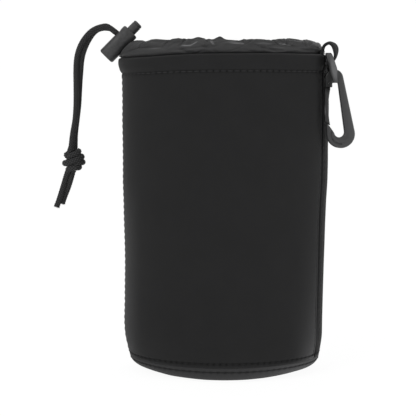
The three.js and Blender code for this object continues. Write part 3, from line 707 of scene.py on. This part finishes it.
# Rise and fall of the front's top edge, by x
frontEdge = [
    (-50, 0.8), (-47, 1), (-44, 0.5), (-41.9, -0.4), (-38.8, 0.6), (-36, 0.65), (-31.6, 0.1),
    (-28.9, -0.2), (-26.3, 0.5), (-24.2, 0.8), (-22.1, 0.2), (-18.4, 0.1), (-9.5, -0.2),
    (-0.2, -0.5), (7.1, -0.8), (9.2, -0.2), (19.1, 0), (24.1, -0.4), (27.1, 0.3), (33.6, 0.9),
    (38.2, 0.6), (40.2, 0.3), (43.5, 1), (46, 0.5), (50, 0.6),
]
collarCloth = {
    "columns": 620, "thickness": 0.28,
    "hemInset": 3.95, "hemRows": 8, "foot": 161.5, "hemTop": 0.8,
    "neck": (172.25, -3.1), "neckSink": 0.7, "neckLeft": 3,
    "swell": (2.5, 1.5), "swellRows": 22, "outerRow": 20, "shoulder": 2.5,
    "leftSwell": 3, "leftShares": (1.35, 0.35), "leftSharpness": 14,
    "rollRows": 26, "roll": (90, 308), "lumps": [(-13.7, 2.6, 1.3), (-3, 2.2, 1.9)], "lumpRoll": (112, 26),
    "crownShade": 0.55, "crownReach": 3.6, "lockGap": 1, "lockShade": 1.6,
}
crownRow = collarCloth["hemRows"] + collarCloth["swellRows"]
# Creases: spread evenly, across the back, and paired at the front's pleats. Streaks: sharp folds
# just under the front's top edge with painted highlights, each with x, height, lean, length and strength
creases = {
    "even": {
        "count": 150, "down": (10.5, 30), "lean": 0.22, "length": (3, 11), "width": (0.45, 0.95),
        "depth": (0.16, 0.5), "bend": 0.012,
    },
    "back": {
        "count": 34, "down": (17, 22), "lean": 0.4, "length": (2, 4.5), "width": (0.5, 0.9),
        "depth": (0.25, 0.6), "bend": 0.02,
    },
    "backStart": 0.02,
    "pleats": [-41.9, -28.9, -9.5, 8, 24.1, 40.2, -20.5, 31],
    "pleatLean": (0.25, 0.6),
    "pleatPair": [(0, 19, 1, 3.4, 0.55, 0.6, 0), (2.4, 18, 2, 3, 0.6, -0.35, 0.02)],
    "ridge": (1.7, 0.5),
    "limit": 0.62,
    "start": (9.6, 2.5),
    "crownSmooth": 0.65,
    "crownReach": 3.5,
    "streaks": [
        (-33.7, 175.3, 0.03, 5.4, 0.35), (-18.6, 175.9, -0.08, 2.4, 0.8), (-15.2, 176.8, 0.6, 1.8, 0.9),
        (-6.4, 177, -0.75, 1.3, 0.9), (5.3, 176.9, -0.1, 3.8, 0.9), (18.3, 177.1, -0.05, 4.4, 0.3),
        (29, 177, -0.1, 2.8, 0.85), (26, 174.6, -0.08, 3.5, 0.2),
    ],
    "streakWidth": 0.24,
    "streakLift": 0.3,
}


def channelPoint(angle):
    x, y = channelHalf[0] * math.cos(angle), channelHalf[1] * math.sin(angle)
    wave = sum(size * math.sin(count * angle + phase) for count, phase, size in channel["waves"])
    front = smoothstep(*channel["frontFrom"], math.sin(angle))
    return Vector((x, y, channel["height"] + wave * (1 - front) + alongTable(frontEdge, x) * front))


# The cloth's section at an angle: inside the hem, out at the neck, over the channel and in
def collarSection(angle):
    shape = collarCloth
    middle = channelPoint(angle)
    outward = ovalOutward(angle, *channelHalf)
    hemTop = pouchShape["rimHeight"] - shape["hemTop"]
    column = [
        wallPoint(angle, height, -shape["hemInset"]) / mm
        for height in np.linspace(shape["foot"], hemTop, shape["hemRows"])]
    leftShare = max(0, -math.cos(angle)) ** shape["leftSharpness"]
    neck = wallPoint(angle, *shape["neck"]) / mm + outward * (shape["neckLeft"] * leftShare)
    crown = middle + Vector((0, 0, channel["halfHeight"]))
    left = shape["leftSwell"] * leftShare
    swell, lift = shape["swell"]
    lowShare, highShare = shape["leftShares"]
    lower = neck + outward * (swell + lowShare * left) + Vector((0, 0, lift))
    upper = crown + outward * (shape["shoulder"] + highShare * left)
    column.append(neck - Vector((0, 0, shape["neckSink"])))
    for step in range(shape["swellRows"]):
        t = step / (shape["swellRows"] - 1)
        point = neck * (1 - t) ** 3 + lower * (3 * t * (1 - t) ** 2)
        column.append(point + upper * (3 * t * t * (1 - t)) + crown * t ** 3)
    lump = 0
    if math.sin(angle) < 0:
        lump = sum(height * bump(middle.x, place, width) for place, width, height in shape["lumps"])
    first, last = shape["roll"]
    for step in range(1, shape["rollRows"] + 1):
        degrees = first + (last - first) * step / shape["rollRows"]
        turn = math.radians(degrees)
        out = channel["halfThickness"] * math.cos(turn)
        rise = channel["halfHeight"] * math.sin(turn) + lump * bump(degrees, *shape["lumpRoll"])
        column.append(middle + outward * out + Vector((0, 0, rise)))
    return column


# The column of the cloth's front that is nearest to an x
def frontColumn(cloth, x):
    return int(np.argmin(np.where(cloth["front"], np.abs(cloth["x"] - x), 1e9)))


# Creases drawn in the cloth: each has a place, direction, length, width, depth and bend
def drawnCrease(place, lean, kind):
    return (
        place, rng.uniform(*kind["down"]), lean + rng.normal(0, kind["lean"]),
        rng.uniform(*kind["length"]), rng.uniform(*kind["width"]), rng.uniform(*kind["depth"]),
        rng.normal(0, kind["bend"]))


def creaseLines(cloth):
    around = cloth["around"]
    even, back = creases["even"], creases["back"]
    lines = [drawnCrease(rng.uniform(0, around), 0, even) for _ in range(even["count"])]
    for place in creases["pleats"]:
        start = cloth["u"][frontColumn(cloth, place)]
        lean = rng.uniform(*creases["pleatLean"]) * rng.choice([-1, 1])
        for aside, down, turns, *rest in creases["pleatPair"]:
            lines.append((start + aside, down, math.pi / 2 - turns * lean, *rest))
    for i in range(back["count"]):
        place = around * (creases["backStart"] + i / (2 * back["count"]))
        lines.append(drawnCrease(place, math.pi / 2, back))
    return lines


# Distances along and across a line in the cloth
def lineDistances(cloth, u, v, lean):
    around = cloth["around"]
    du = (cloth["u"][:, None] - u + around / 2) % around - around / 2
    dv = cloth["v"] - v
    return du * math.cos(lean) + dv * math.sin(lean), -du * math.sin(lean) + dv * math.cos(lean)


def creaseField(cloth):
    field = np.zeros(cloth["v"].shape)
    aside, ridgeShare = creases["ridge"]
    for u, v, lean, length, width, depth, bend in creaseLines(cloth):
        t, d = lineDistances(cloth, u, v, lean)
        d = d + bend * t * t
        ridges = bumps(np.abs(d), aside * width, width)
        field -= depth * np.exp(-(t / length) ** 4) * (bumps(d, 0, width) - ridgeShare * ridges)
    start, rise = creases["start"]
    fade = np.clip((cloth["v"] - start) / rise, 0, 1)
    rows = np.arange(field.shape[1])
    fade *= 1 - creases["crownSmooth"] * bumps(rows, crownRow, creases["crownReach"])
    return np.clip(field, -creases["limit"], creases["limit"]) * fade


def streakField(cloth):
    field = np.zeros(cloth["v"].shape)
    low = collarCloth["hemRows"]
    for x, height, lean, length, strength in creases["streaks"]:
        nearest = frontColumn(cloth, x)
        row = low + int(np.argmin(np.abs(cloth["z"][nearest, low:crownRow] - height)))
        t, d = lineDistances(cloth, cloth["u"][nearest], cloth["v"][nearest, row], lean)
        field += strength * np.exp(-(t / length) ** 4) * bumps(d, 0, creases["streakWidth"])
    return np.clip(field, 0, 1)


# The cord lock's place, and the drawcord's way out of the channel into it
lockPlace = {
    "middle": (-55.05, 0, 182.35), "cordRise": math.atan2(3, 4), "halfWidth": 4.6, "halfDepth": 5.25,
    "sideFade": (4, 3), "lowFade": (10.5, 2),
}
lockAway = np.array((1, 0, -1)) / math.sqrt(2)
loopRoute = {
    "turnIn": -5.5, "turnInside": (0.2, 4.2, 0.2), "turnAngle": 17, "steps": 60, "ring": 0.45, "sides": 24,
}
cordHole = {"halfWidth": 2.05, "spacing": 1.6, "reach": (-9, 0)}


def onCordLine(distance, side):
    rise = lockPlace["cordRise"]
    point = Vector(lockPlace["middle"]) + Vector((-math.cos(rise), 0, math.sin(rise))) * distance
    point.y = side * strandSpacing / 2
    return point


def inCordHole(point):
    rise = lockPlace["cordRise"]
    fromLock = Vector(point) - Vector(lockPlace["middle"])
    along = -fromLock.x * math.cos(rise) + fromLock.z * math.sin(rise)
    aside = fromLock.x * math.sin(rise) + fromLock.z * math.cos(rise)
    depth = max(0, abs(fromLock.y) - cordHole["spacing"])
    near, far = cordHole["reach"]
    return near < along < far and math.hypot(aside, depth) < cordHole["halfWidth"]


# The cloth's gap to the cord lock's side, and how far each place lies within the lock's depth
def besideLock(grid):
    fromLock = grid - np.array(lockPlace["middle"])
    reach, fade = lockPlace["sideFade"]
    within = np.clip((lockPlace["halfDepth"] + reach - np.abs(fromLock[:, :, 1])) / fade, 0, 1)
    return fromLock @ lockAway - lockPlace["halfWidth"], within


# The cloth is pressed back where the cord lock lies against it
def clearOfLock(grid):
    gap, within = besideLock(grid)
    reach, fade = lockPlace["lowFade"]
    above = np.clip((grid[:, :, 2] - lockPlace["middle"][2] + reach) / fade, 0, 1)
    lacking = np.maximum(0, collarCloth["lockGap"] - gap)
    return grid + (lacking * within * above)[:, :, None] * lockAway


def collarPiece():
    columns = collarCloth["columns"]
    angles = np.linspace(0, 2 * math.pi, columns, endpoint=False)
    grid = np.array([[tuple(point) for point in collarSection(angle)] for angle in angles])
    down = np.cumsum(np.linalg.norm(np.diff(grid, axis=1), axis=2), axis=1)
    crown = grid[:, crownRow, :2]
    steps = np.linalg.norm(np.roll(crown, -1, axis=0) - crown, axis=1)
    cloth = {
        "u": np.concatenate([[0], np.cumsum(steps)[:-1]]),
        "v": np.concatenate([np.zeros((columns, 1)), down], axis=1),
        "around": steps.sum(), "x": crown[:, 0], "z": grid[:, :, 2], "front": np.sin(angles) < 0,
    }
    streaks = streakField(cloth)
    field = creaseField(cloth) + creases["streakLift"] * streaks
    alongU = np.roll(grid, -1, axis=0) - np.roll(grid, 1, axis=0)
    normals = np.cross(alongU, np.gradient(grid, axis=1))
    normals /= np.linalg.norm(normals, axis=2, keepdims=True)
    outer = collarCloth["outerRow"]
    if (normals[:, outer, :2] * grid[:, outer, :2]).sum() < 0:
        normals = -normals
    grid = clearOfLock(grid + normals * field[:, :, None])
    size = grid.shape[1]
    faces = []
    for i in range(columns):
        k = (i + 1) % columns
        for j in range(size - 1):
            if not inCordHole((grid[i, j] + grid[k, j + 1]) / 2):
                faces.append((i * size + j, k * size + j, k * size + j + 1, i * size + j + 1))
    piece = newPiece("collarCloth", (grid * mm).reshape(-1, 3), faces)
    places = np.stack([np.repeat(cloth["u"][:, None], size, axis=1), cloth["v"]], axis=2)
    setUv(piece, places.reshape(-1, 2) / uvSpan)
    # Painted shade: darker beside the cord lock, along the crown and in the creases; painted highlights on
    # the streaks
    gap, within = besideLock(grid)
    dark = within * bumps(np.maximum(0, gap - collarCloth["lockGap"]), 0, collarCloth["lockShade"])
    dark += collarCloth["crownShade"] * bumps(np.arange(size), crownRow, collarCloth["crownReach"])
    dark += np.clip(-field, 0, 1)
    setMask(piece, "collarShade", np.clip(dark, 0, 1).ravel())
    setMask(piece, "paintedFoldHighlight", streaks.ravel())
    return piece


def halfLoop(side):
    distances = (lockPlace["halfWidth"], 0, loopRoute["turnIn"])
    points = [onCordLine(distance, side) for distance in distances]
    x, y, z = loopRoute["turnInside"]
    points.append(Vector((x - channelHalf[0], side * y, channel["height"] + z)))
    start = math.pi - math.radians(loopRoute["turnAngle"])
    for i in range(loopRoute["steps"] + 1):
        points.append(channelPoint(side * start * (1 - i / loopRoute["steps"])))
    return points


loopPoints = halfLoop(-1) + halfLoop(1)[::-1][1:]
channelCord, _ = braidedCord("channelCord", loopPoints, ring=loopRoute["ring"], sides=loopRoute["sides"])
collar = collarPiece()
solidify = collar.modifiers.new("clothThickness", "SOLIDIFY")
solidify.thickness = collarCloth["thickness"] * mm
solidify.offset = 0
applyModifiers(collar)
print("collar made")

# Tape loop round the hook's eye; it turns its face a little to the front on its way down
tape = {
    "width": 5, "thickness": 1.45, "reach": 3.6, "top": 6.2, "bottom": 4.3,
    "bar": (54.9127, -19.3623, 172.3),
    "shares": [
        (0, -0.74, 0.45), (0.16, -0.45, 0.82), (0.5, 0.15, 1), (0.84, 0.72, 0.84), (0.98, 1, 0.5),
        (1, 1.02, -0.1), (1, 0.8, -0.6), (1, 0.3, -0.95), (1, -0.17, -1.08),
    ],
    "start": (-1.1, -0.5), "end": (5, 1.2), "endOut": 0.2, "endShares": (0.96, -1.13),
    "faceTurn": 36, "turnMiddle": 0.56, "turnWidth": 0.16,
    "step": 0.35, "ribs": 14, "ribDepth": 0.05, "edgeFrom": 0.82, "edgeThin": 0.5,
}


def tapePiece():
    seamAngle = math.radians(pouchShape["rightSeam"])
    offset, sunk = tape["start"]
    start = wallPoint(seamAngle, pouchShape["rimHeight"], offset, False) / mm + Vector((0, 0, sunk))
    below, offset = tape["end"]
    end = wallPoint(seamAngle, pouchShape["rimHeight"] - below, offset, False) / mm
    bar = Vector(tape["bar"])

    def at(x, across, rise):
        tall = tape["top"] if rise > 0 else tape["bottom"]
        return Vector((x, start.y + (bar.y - start.y) * across, bar.z + rise * tall))

    points = [start]
    for across, reach, rise in tape["shares"]:
        points.append(at(bar.x + reach * tape["reach"], across, rise))
    points.append(at(end.x + tape["endOut"], *tape["endShares"]))
    route = splineRoute([point * mm for point in points], tape["step"] * mm)
    ribs = tape["ribs"]
    outline = [(-1 + 2 * k / ribs, 1) for k in range(ribs + 1)]
    outline += [(-across, -1) for across, _ in outline]
    vertices = []
    uvs = []
    for i, point in enumerate(route):
        along = alongRoute(route, i)
        wide = (Vector((0, 1, 0)) - along * along.y).normalized()
        thick = along.cross(wide)
        turn = math.radians(tape["faceTurn"])
        turn *= bump(i / (len(route) - 1), tape["turnMiddle"], tape["turnWidth"])
        wide, thick = (
            wide * math.cos(turn) + thick * math.sin(turn), thick * math.cos(turn) - wide * math.sin(turn))
        for w, t in outline:
            rib = tape["ribDepth"] * math.cos(w * ribs * math.pi)
            edge = 1 - tape["edgeThin"] * max(0, abs(w) - tape["edgeFrom"]) / (1 - tape["edgeFrom"])
            across = wide * (w * tape["width"] / 2 * mm)
            vertices.append(point + across + thick * (t * (edge * tape["thickness"] / 2 + rib) * mm))
            uvs.append((w * tape["width"] / 2 / uvSpan, i * tape["step"] / uvSpan))
    piece = newPiece("tapeLoop", vertices, cappedFaces(0, len(route), len(outline)))
    setUv(piece, uvs)
    return piece


tapeLoop = tapePiece()
print("tape made")

# Moulded pieces: a merged copy of the solid, with edges sharper than the angle rounded
rounding = {"merge": 0.01, "flat": 1.5, "angle": 35, "segments": 2}


def roundedCopy(node, name, width):
    piece = addObject(name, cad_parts[node].data.copy())
    piece.data.materials.clear()
    activate(piece)
    bpy.ops.object.mode_set(mode="EDIT")
    bpy.ops.mesh.select_all(action="SELECT")
    bpy.ops.mesh.remove_doubles(threshold=rounding["merge"] * mm)
    bpy.ops.mesh.dissolve_limited(angle_limit=math.radians(rounding["flat"]))
    bpy.ops.object.mode_set(mode="OBJECT")
    if width:
        bevel = piece.modifiers.new("softEdges", "BEVEL")
        bevel.width = width * mm
        bevel.segments = rounding["segments"]
        bevel.limit_method = "ANGLE"
        bevel.angle_limit = math.radians(rounding["angle"])
        applyModifiers(piece)
    activate(piece)
    bpy.ops.object.shade_smooth_by_angle(angle=math.radians(rounding["angle"]))
    return piece


lockBarrel = roundedCopy("lock_barrel", "lockBarrel", 0.16)
lockPlunger = roundedCopy("lock_plunger", "lockPlunger", 0.12)
hookFrame = roundedCopy("clip_frame", "hookFrame", 0.2)
hookGate = roundedCopy("clip_gate", "hookGate", 0.16)
lockSpring = roundedCopy("lock_spring", "lockSpring", 0)
print("moulded pieces made")


# Materials: grey levels run from 0 to 255, as in the photograph, with a trace more blue
def grey(value):
    value /= 255
    level = value / 12.92 if value <= 0.04045 else ((value + 0.055) / 1.055) ** 2.4
    return (level, level, level * 1.02, 1)


# A node whose values are set, or linked where they are another node's output
def addNode(tree, kind, settings=None, values=None):
    node = tree.nodes.new(kind)
    for key, value in (settings or {}).items():
        setattr(node, key, value)
    for key, value in (values or {}).items():
        if isinstance(value, bpy.types.NodeSocket):
            tree.links.new(value, node.inputs[key])
        else:
            node.inputs[key].default_value = value
    return node


def mathNode(tree, operation, *operands):
    values = dict(enumerate(operands))
    return addNode(tree, "ShaderNodeMath", {"operation": operation}, values).outputs[0]


def reliefNode(tree, height, depth):
    values = {"Strength": 1, "Height": height, "Distance": depth}
    return addNode(tree, "ShaderNodeBump", values=values).outputs["Normal"]


def cloudNode(tree, place, scale, detail, roughness=0.5):
    values = {"Vector": place, "Scale": scale, "Detail": detail, "Roughness": roughness}
    return addNode(tree, "ShaderNodeTexNoise", values=values).outputs["Fac"]


def ownPlace(tree):
    return addNode(tree, "ShaderNodeTexCoord").outputs["Object"]


# Shared texture effects are node groups that put out a value, a colour or a normal
def newGroup(name, makeNodes, inputs, output):
    group = bpy.data.node_groups.new(name, "ShaderNodeTree")
    for label, kind in inputs.items():
        group.interface.new_socket(label, in_out="INPUT", socket_type="NodeSocket" + kind)
    label, kind = output
    group.interface.new_socket(label, in_out="OUTPUT", socket_type="NodeSocket" + kind)
    given = group.nodes.new("NodeGroupInput").outputs
    addNode(group, "NodeGroupOutput", values={label: makeNodes(group, given)})
    return group


# Fine crossed ribs in the cloth's own coordinates
def ribNodes(tree, given):
    parts = addNode(tree, "ShaderNodeSeparateXYZ", values={0: given["Vector"]}).outputs
    across = mathNode(tree, "SINE", mathNode(tree, "MULTIPLY", parts["X"], given["Across"]))
    along = mathNode(tree, "SINE", mathNode(tree, "MULTIPLY", parts["Y"], given["Along"]))
    grain = cloudNode(tree, given["Vector"], 600, 2)
    height = mathNode(tree, "ADD", mathNode(tree, "MULTIPLY", across, along), grain)
    return reliefNode(tree, height, given["Depth"])


# Soft unevenness of tone, in the object's own coordinates
def toneNodes(tree, given):
    cloud = cloudNode(tree, ownPlace(tree), given["Scale"], 4, 0.6)
    uneven = mathNode(tree, "MULTIPLY", mathNode(tree, "SUBTRACT", cloud, 0.5), given["Amount"])
    values = {0: given["Color"], "Scale": mathNode(tree, "ADD", uneven, 1)}
    return addNode(tree, "ShaderNodeVectorMath", {"operation": "SCALE"}, values).outputs[0]


# Fine moulded skin of the plastics
def skinNodes(tree, given):
    return reliefNode(tree, cloudNode(tree, ownPlace(tree), given["Scale"], 3, 0.55), given["Depth"])


# A soft oval patch at a place on a moulded piece, for painted shade and painted highlights: 1 in its middle
# and 0 outside
def patchNodes(tree, given):
    fitted = addNode(tree, "ShaderNodeMapping", {"vector_type": "TEXTURE"}, {
        "Vector": ownPlace(tree), "Location": given["Place"], "Rotation": given["Turn"],
        "Scale": given["Reach"]})
    length = addNode(
        tree, "ShaderNodeVectorMath", {"operation": "LENGTH"}, {0: fitted.outputs["Vector"]})
    fall = addNode(tree, "ShaderNodeMapRange", {"interpolation_type": "SMOOTHSTEP"}, {
        "Value": length.outputs["Value"], "From Min": given["Core"], "To Min": 1, "To Max": 0})
    return fall.outputs["Result"]


ribs = newGroup(
    "crossedRibs", ribNodes, {"Vector": "Vector", "Across": "Float", "Along": "Float", "Depth": "Float"},
    ("Normal", "Vector"))
tone = newGroup(
    "unevenTone", toneNodes, {"Color": "Color", "Scale": "Float", "Amount": "Float"}, ("Color", "Color"))
skin = newGroup("mouldedSkin", skinNodes, {"Scale": "Float", "Depth": "Float"}, ("Normal", "Vector"))
patch = newGroup(
    "lightAndShadePatch", patchNodes, {"Place": "Vector", "Turn": "Vector", "Reach": "Vector", "Core": "Float"},
    ("Value", "Float"))

# Looks. ribs: across, along, depth. skin: scale, depth. unevenness: scale, amount. light, mask and
# valley: attribute, level, amount. patches: middle x and z, turn, reach across and along, core,
# level, amount
foam = {
    "roughness": 0.92, "specular": 0.2, "sheen": 0.1, "sheenRoughness": 0.45,
    "ribs": (1050, 1400, 0.00003), "unevenness": (70, 0.25),
}
satin = {"specular": 0.5, "skin": (2200, 0.00002), "unevenness": (200, 0.15)}
metal = {"metallic": 1, "unevenness": (800, 0.2)}
yarn = {"roughness": 0.75, "unevenness": (900, 0.3)}
looks = {
    # The wall cloth: paler with painted light, darker with painted shade at needle holes, seam joints and
    # the strip behind the right side seam
    "foamCloth": {**foam, "level": 39, "mask": ("clothShade", 12, 0.8), "light": ("paintedLight", 100, 1)},
    # The base cloth: the same foam at a lighter level as painted light from below, with painted light to the
    # right and painted shade at needle holes and its seam joint
    "litBaseCloth": {
        **foam, "level": 61, "roughness": 0.9, "mask": ("clothShade", 26, 0.75),
        "light": ("paintedLight", 90, 0.85),
    },
    # Painted shade in creases, along the crown and beside the cord lock; painted highlights along the
    # streaks
    "nylonCloth": {
        "level": 55, "roughness": 0.5, "specular": 0.45, "sheen": 0.15, "sheenRoughness": 0.35,
        "ribs": (4200, 4200, 0.00001), "unevenness": (160, 0.35), "mask": ("collarShade", 24, 0.95),
        "light": ("paintedFoldHighlight", 150, 0.8),
    },
    # Painted shade: the braid's valleys are darkened in colour
    "cordBraid": {
        "level": 70, "roughness": 0.75, "specular": 0.3, "sheen": 0.15, "sheenRoughness": 0.4,
        "unevenness": (900, 0.7), "valley": ("braidHeight", 12, 1.1),
    },
    "tapeWeave": {
        "level": 44, "roughness": 0.85, "specular": 0.25, "sheen": 0.1, "sheenRoughness": 0.4,
        "ribs": (1250, 1250, 0.00006), "unevenness": (300, 0.4),
    },
    "lockPlastic": {
        "level": 69, "roughness": 0.5, "specular": 0.45, "skin": (1400, 0.00006),
        "unevenness": (620, 1.3),
    },
    # Patches: painted shade on the fork, a painted highlight on the eye's leaf and a painted shadow along
    # the leaf's right edge
    "hookPlastic": {
        **satin, "level": 66, "roughness": 0.42, "patches": [
            (53.6, 160.5, 0, 3.8, 9, 0.8, 8, 1), (57.4, 164.9, -11, 2.4, 9, 0.3, 110, 0.9),
            (59.5, 160.4, -8, 0.6, 4, 0.3, 30, 0.7),
        ],
    },
    # The gate: the hook's plastic made darker as painted shade, with a painted highlight streak and painted
    # shade at its top
    "shadedGatePlastic": {
        **satin, "level": 46, "roughness": 0.4, "patches": [
            (52.9, 143.5, -6, 0.6, 4.2, 0.3, 112, 0.8), (54.8, 157.5, 0, 4.2, 6, 0.7, 8, 1),
        ],
    },
    "springSteel": {**metal, "level": 176, "roughness": 0.3},
    # The gate pin: steel darkened as painted shade
    "shadedPinSteel": {**metal, "level": 60, "roughness": 0.45},
    "seamThread": {**yarn, "level": 60, "specular": 0.25},
    "baseThread": {**yarn, "level": 40, "specular": 0.2},
}
# The shader's input for each plain value of a look, and the value where a look has none
shaderInputs = {
    "roughness": ("Roughness", 0.5), "metallic": ("Metallic", 0), "specular": ("Specular IOR Level", 0.5),
    "sheen": ("Sheen Weight", 0), "sheenRoughness": ("Sheen Roughness", 0.5),
}


def newMaterial(name, look):
    made = bpy.data.materials.new(name)
    made.use_nodes = True
    tree = made.node_tree
    shader = tree.nodes["Principled BSDF"]
    for key, (label, plain) in shaderInputs.items():
        shader.inputs[label].default_value = look.get(key, plain)
    base = addNode(tree, "ShaderNodeRGB")
    base.outputs[0].default_value = grey(look["level"])
    color = base.outputs[0]

    def addGroup(group, output, **values):
        return addNode(tree, "ShaderNodeGroup", {"node_tree": group}, values).outputs[output]

    def mixed(color, share, level, amount):
        settings = {"data_type": "RGBA", "clamp_factor": True}
        values = {0: mathNode(tree, "MULTIPLY", share, amount), 6: color, 7: grey(level)}
        return addNode(tree, "ShaderNodeMix", settings, values).outputs[2]

    # Light mixes in painted light and painted highlights; mask and valley mix in painted shade
    for key in ("light", "mask", "valley"):
        if key in look:
            label, level, amount = look[key]
            share = addNode(tree, "ShaderNodeAttribute", {"attribute_name": label}).outputs["Fac"]
            if key == "valley":
                share = mathNode(tree, "SUBTRACT", 1, share)
            color = mixed(color, share, level, amount)
    for x, z, turn, across, along, core, level, amount in look.get("patches", []):
        share = addGroup(
            patch, "Value", Place=(x * mm, 0, z * mm), Turn=(0, math.radians(turn), 0),
            Reach=(across * mm, 1, along * mm), Core=core)
        color = mixed(color, share, level, amount)
    scale, amount = look["unevenness"]
    color = addGroup(tone, "Color", Scale=scale, Amount=amount, Color=color)
    tree.links.new(color, shader.inputs["Base Color"])
    if "ribs" in look:
        across, along, depth = look["ribs"]
        place = addNode(tree, "ShaderNodeUVMap", {"uv_map": "clothUv"}).outputs["UV"]
        normal = addGroup(ribs, "Normal", Vector=place, Across=across, Along=along, Depth=depth)
        tree.links.new(normal, shader.inputs["Normal"])
    if "skin" in look:
        scale, depth = look["skin"]
        tree.links.new(addGroup(skin, "Normal", Scale=scale, Depth=depth), shader.inputs["Normal"])
    return made


materials = {name: newMaterial(name, look) for name, look in looks.items()}
print("materials made")

# Each piece with its look, its body, its material slot and the solids it stands for
dressing = [
    (frontWall, "foamCloth", "pouch", "foam_cloth", ["front_panel"]),
    (backWall, "foamCloth", "pouch", "foam_cloth", ["back_panel"]),
    (basePanel, "litBaseCloth", "pouch", "foam_cloth", ["base_panel"]),
    (hemStitches, "seamThread", "pouch", "foam_cloth", []),
    (baseStitches, "baseThread", "pouch", "foam_cloth", []),
    (sideStitches, "seamThread", "pouch", "foam_cloth", []),
    (collar, "nylonCloth", "pouch", "nylon", ["collar"]),
    (channelCord, "cordBraid", "pouch", "cord", ["drawcord_loop"]),
    (strandFront, "cordBraid", "pouch", "cord", ["cord_strand_front"]),
    (strandBack, "cordBraid", "pouch", "cord", ["cord_strand_back"]),
    (knotFront, "cordBraid", "pouch", "cord", ["cord_knot"]),
    (knotBack, "cordBraid", "pouch", "cord", []),
    (tailLeft, "cordBraid", "pouch", "cord", ["cord_tail_left"]),
    (tailRight, "cordBraid", "pouch", "cord", ["cord_tail_right"]),
    (fibresLeft, "cordBraid", "pouch", "cord", []),
    (fibresRight, "cordBraid", "pouch", "cord", []),
    (tapeLoop, "tapeWeave", "pouch", "tape", ["tape_loop"]),
    (lockBarrel, "lockPlastic", "cord_lock", "lock_plastic", ["lock_barrel"]),
    (lockPlunger, "lockPlastic", "lock_button", "lock_plastic", ["lock_plunger"]),
    (lockSpring, "springSteel", "cord_lock", "steel", ["lock_spring"]),
    (hookFrame, "hookPlastic", "hook", "hook_plastic", ["clip_frame"]),
    (hookGate, "shadedGatePlastic", "gate", "gate_plastic", ["clip_gate"]),
]
for piece, look, body, slotName, nodes in dressing:
    piece.data.materials.clear()
    piece.data.materials.append(materials[look])
    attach(piece, body)
    if nodes:
        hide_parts(*nodes)
for node in ("gate_spring", "gate_pin"):
    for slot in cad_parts[node].material_slots:
        slot.material = materials["shadedPinSteel"]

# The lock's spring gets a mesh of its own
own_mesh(lockSpring)

for strand, path, pieces in (
        (strandFront, strandFrontPath, [knotFront, tailLeft]),
        (strandBack, strandBackPath, [knotBack, tailRight])):
    tuple(path[0])
    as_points(path)
    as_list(pieces)

# Stage, in metres: a pale floor that curves up into a backdrop, a pale world and three soft lamps
stageLook = {
    "paleness": 0.9, "cameraShare": 0.86, "bounceShare": 0.45, "glow": 1.09, "worldLight": 0.36,
    "halfWidth": 2.5, "front": -1.5, "back": 1.1, "curve": 0.6, "curveSteps": 8, "top": 2.4,
    "lampAim": (0, 0, 0.1),
    "lamps": [
        ("keyLamp", (-0.9, -0.9, 1.0), (0.7, 0.7), 5.6), ("fillLamp", (1.1, -0.7, 0.3), (0.8, 0.5), 3),
        ("topLamp", (0, 0.1, 1.3), (0.9, 0.6), 1.6),
    ],
}


def stagePiece():
    back, curve = stageLook["back"], stageLook["curve"]
    profile = [(stageLook["front"], 0), (back, 0)]
    for i in range(1, stageLook["curveSteps"] + 1):
        angle = math.pi / 2 * i / stageLook["curveSteps"]
        profile.append((back + curve * math.sin(angle), curve - curve * math.cos(angle)))
    profile.append((back + curve, stageLook["top"]))
    sides = (-stageLook["halfWidth"], stageLook["halfWidth"])
    points = [(x, y, z) for y, z in profile for x in sides]
    faces = [(2 * i, 2 * i + 1, 2 * i + 3, 2 * i + 2) for i in range(len(profile) - 1)]
    mesh = bpy.data.meshes.new("studioFloor")
    mesh.from_pydata(points, [], faces)
    return addObject("studioFloor", mesh)


floor = stagePiece()
floorMaterial = bpy.data.materials.new("paleFloor")
floorMaterial.use_nodes = True
floorTree = floorMaterial.node_tree
floorTree.nodes.clear()
floorPale = addNode(
    floorTree, "ShaderNodeBsdfDiffuse", values={"Color": (stageLook["paleness"],) * 3 + (1,)})
floorGlow = addNode(
    floorTree, "ShaderNodeEmission", values={"Color": (1, 1, 1, 1), "Strength": stageLook["glow"]})
floorPath = addNode(floorTree, "ShaderNodeLightPath")
floorShare = mathNode(
    floorTree, "MULTIPLY_ADD", floorPath.outputs["Is Camera Ray"],
    stageLook["cameraShare"] - stageLook["bounceShare"], stageLook["bounceShare"])
floorMix = addNode(
    floorTree, "ShaderNodeMixShader",
    values={0: floorShare, 1: floorPale.outputs[0], 2: floorGlow.outputs[0]})
addNode(floorTree, "ShaderNodeOutputMaterial", values={"Surface": floorMix.outputs[0]})
floor.data.materials.append(floorMaterial)

world = bpy.data.worlds.new("studioWorld")
bpy.context.scene.world = world
world.use_nodes = True
worldTree = world.node_tree
worldPath = addNode(worldTree, "ShaderNodeLightPath")
worldStrength = addNode(worldTree, "ShaderNodeMapRange", values={
    "Value": worldPath.outputs["Is Camera Ray"], "To Min": stageLook["worldLight"], "To Max": 1})
worldTree.links.new(worldStrength.outputs["Result"], worldTree.nodes["Background"].inputs["Strength"])
worldTree.nodes["Background"].inputs["Color"].default_value = (1, 1, 1, 1)

for name, place, size, power in stageLook["lamps"]:
    lampData = bpy.data.lights.new(name, "AREA")
    lampData.shape = "RECTANGLE"
    lampData.size, lampData.size_y = size
    lampData.energy = power
    lamp = addObject(name, lampData)
    lamp.location = place
    aim = Vector(stageLook["lampAim"]) - Vector(place)
    lamp.rotation_euler = aim.to_track_quat("-Z", "Y").to_euler()
bpy.context.scene.view_settings.view_transform = "Standard"
print("stage made")
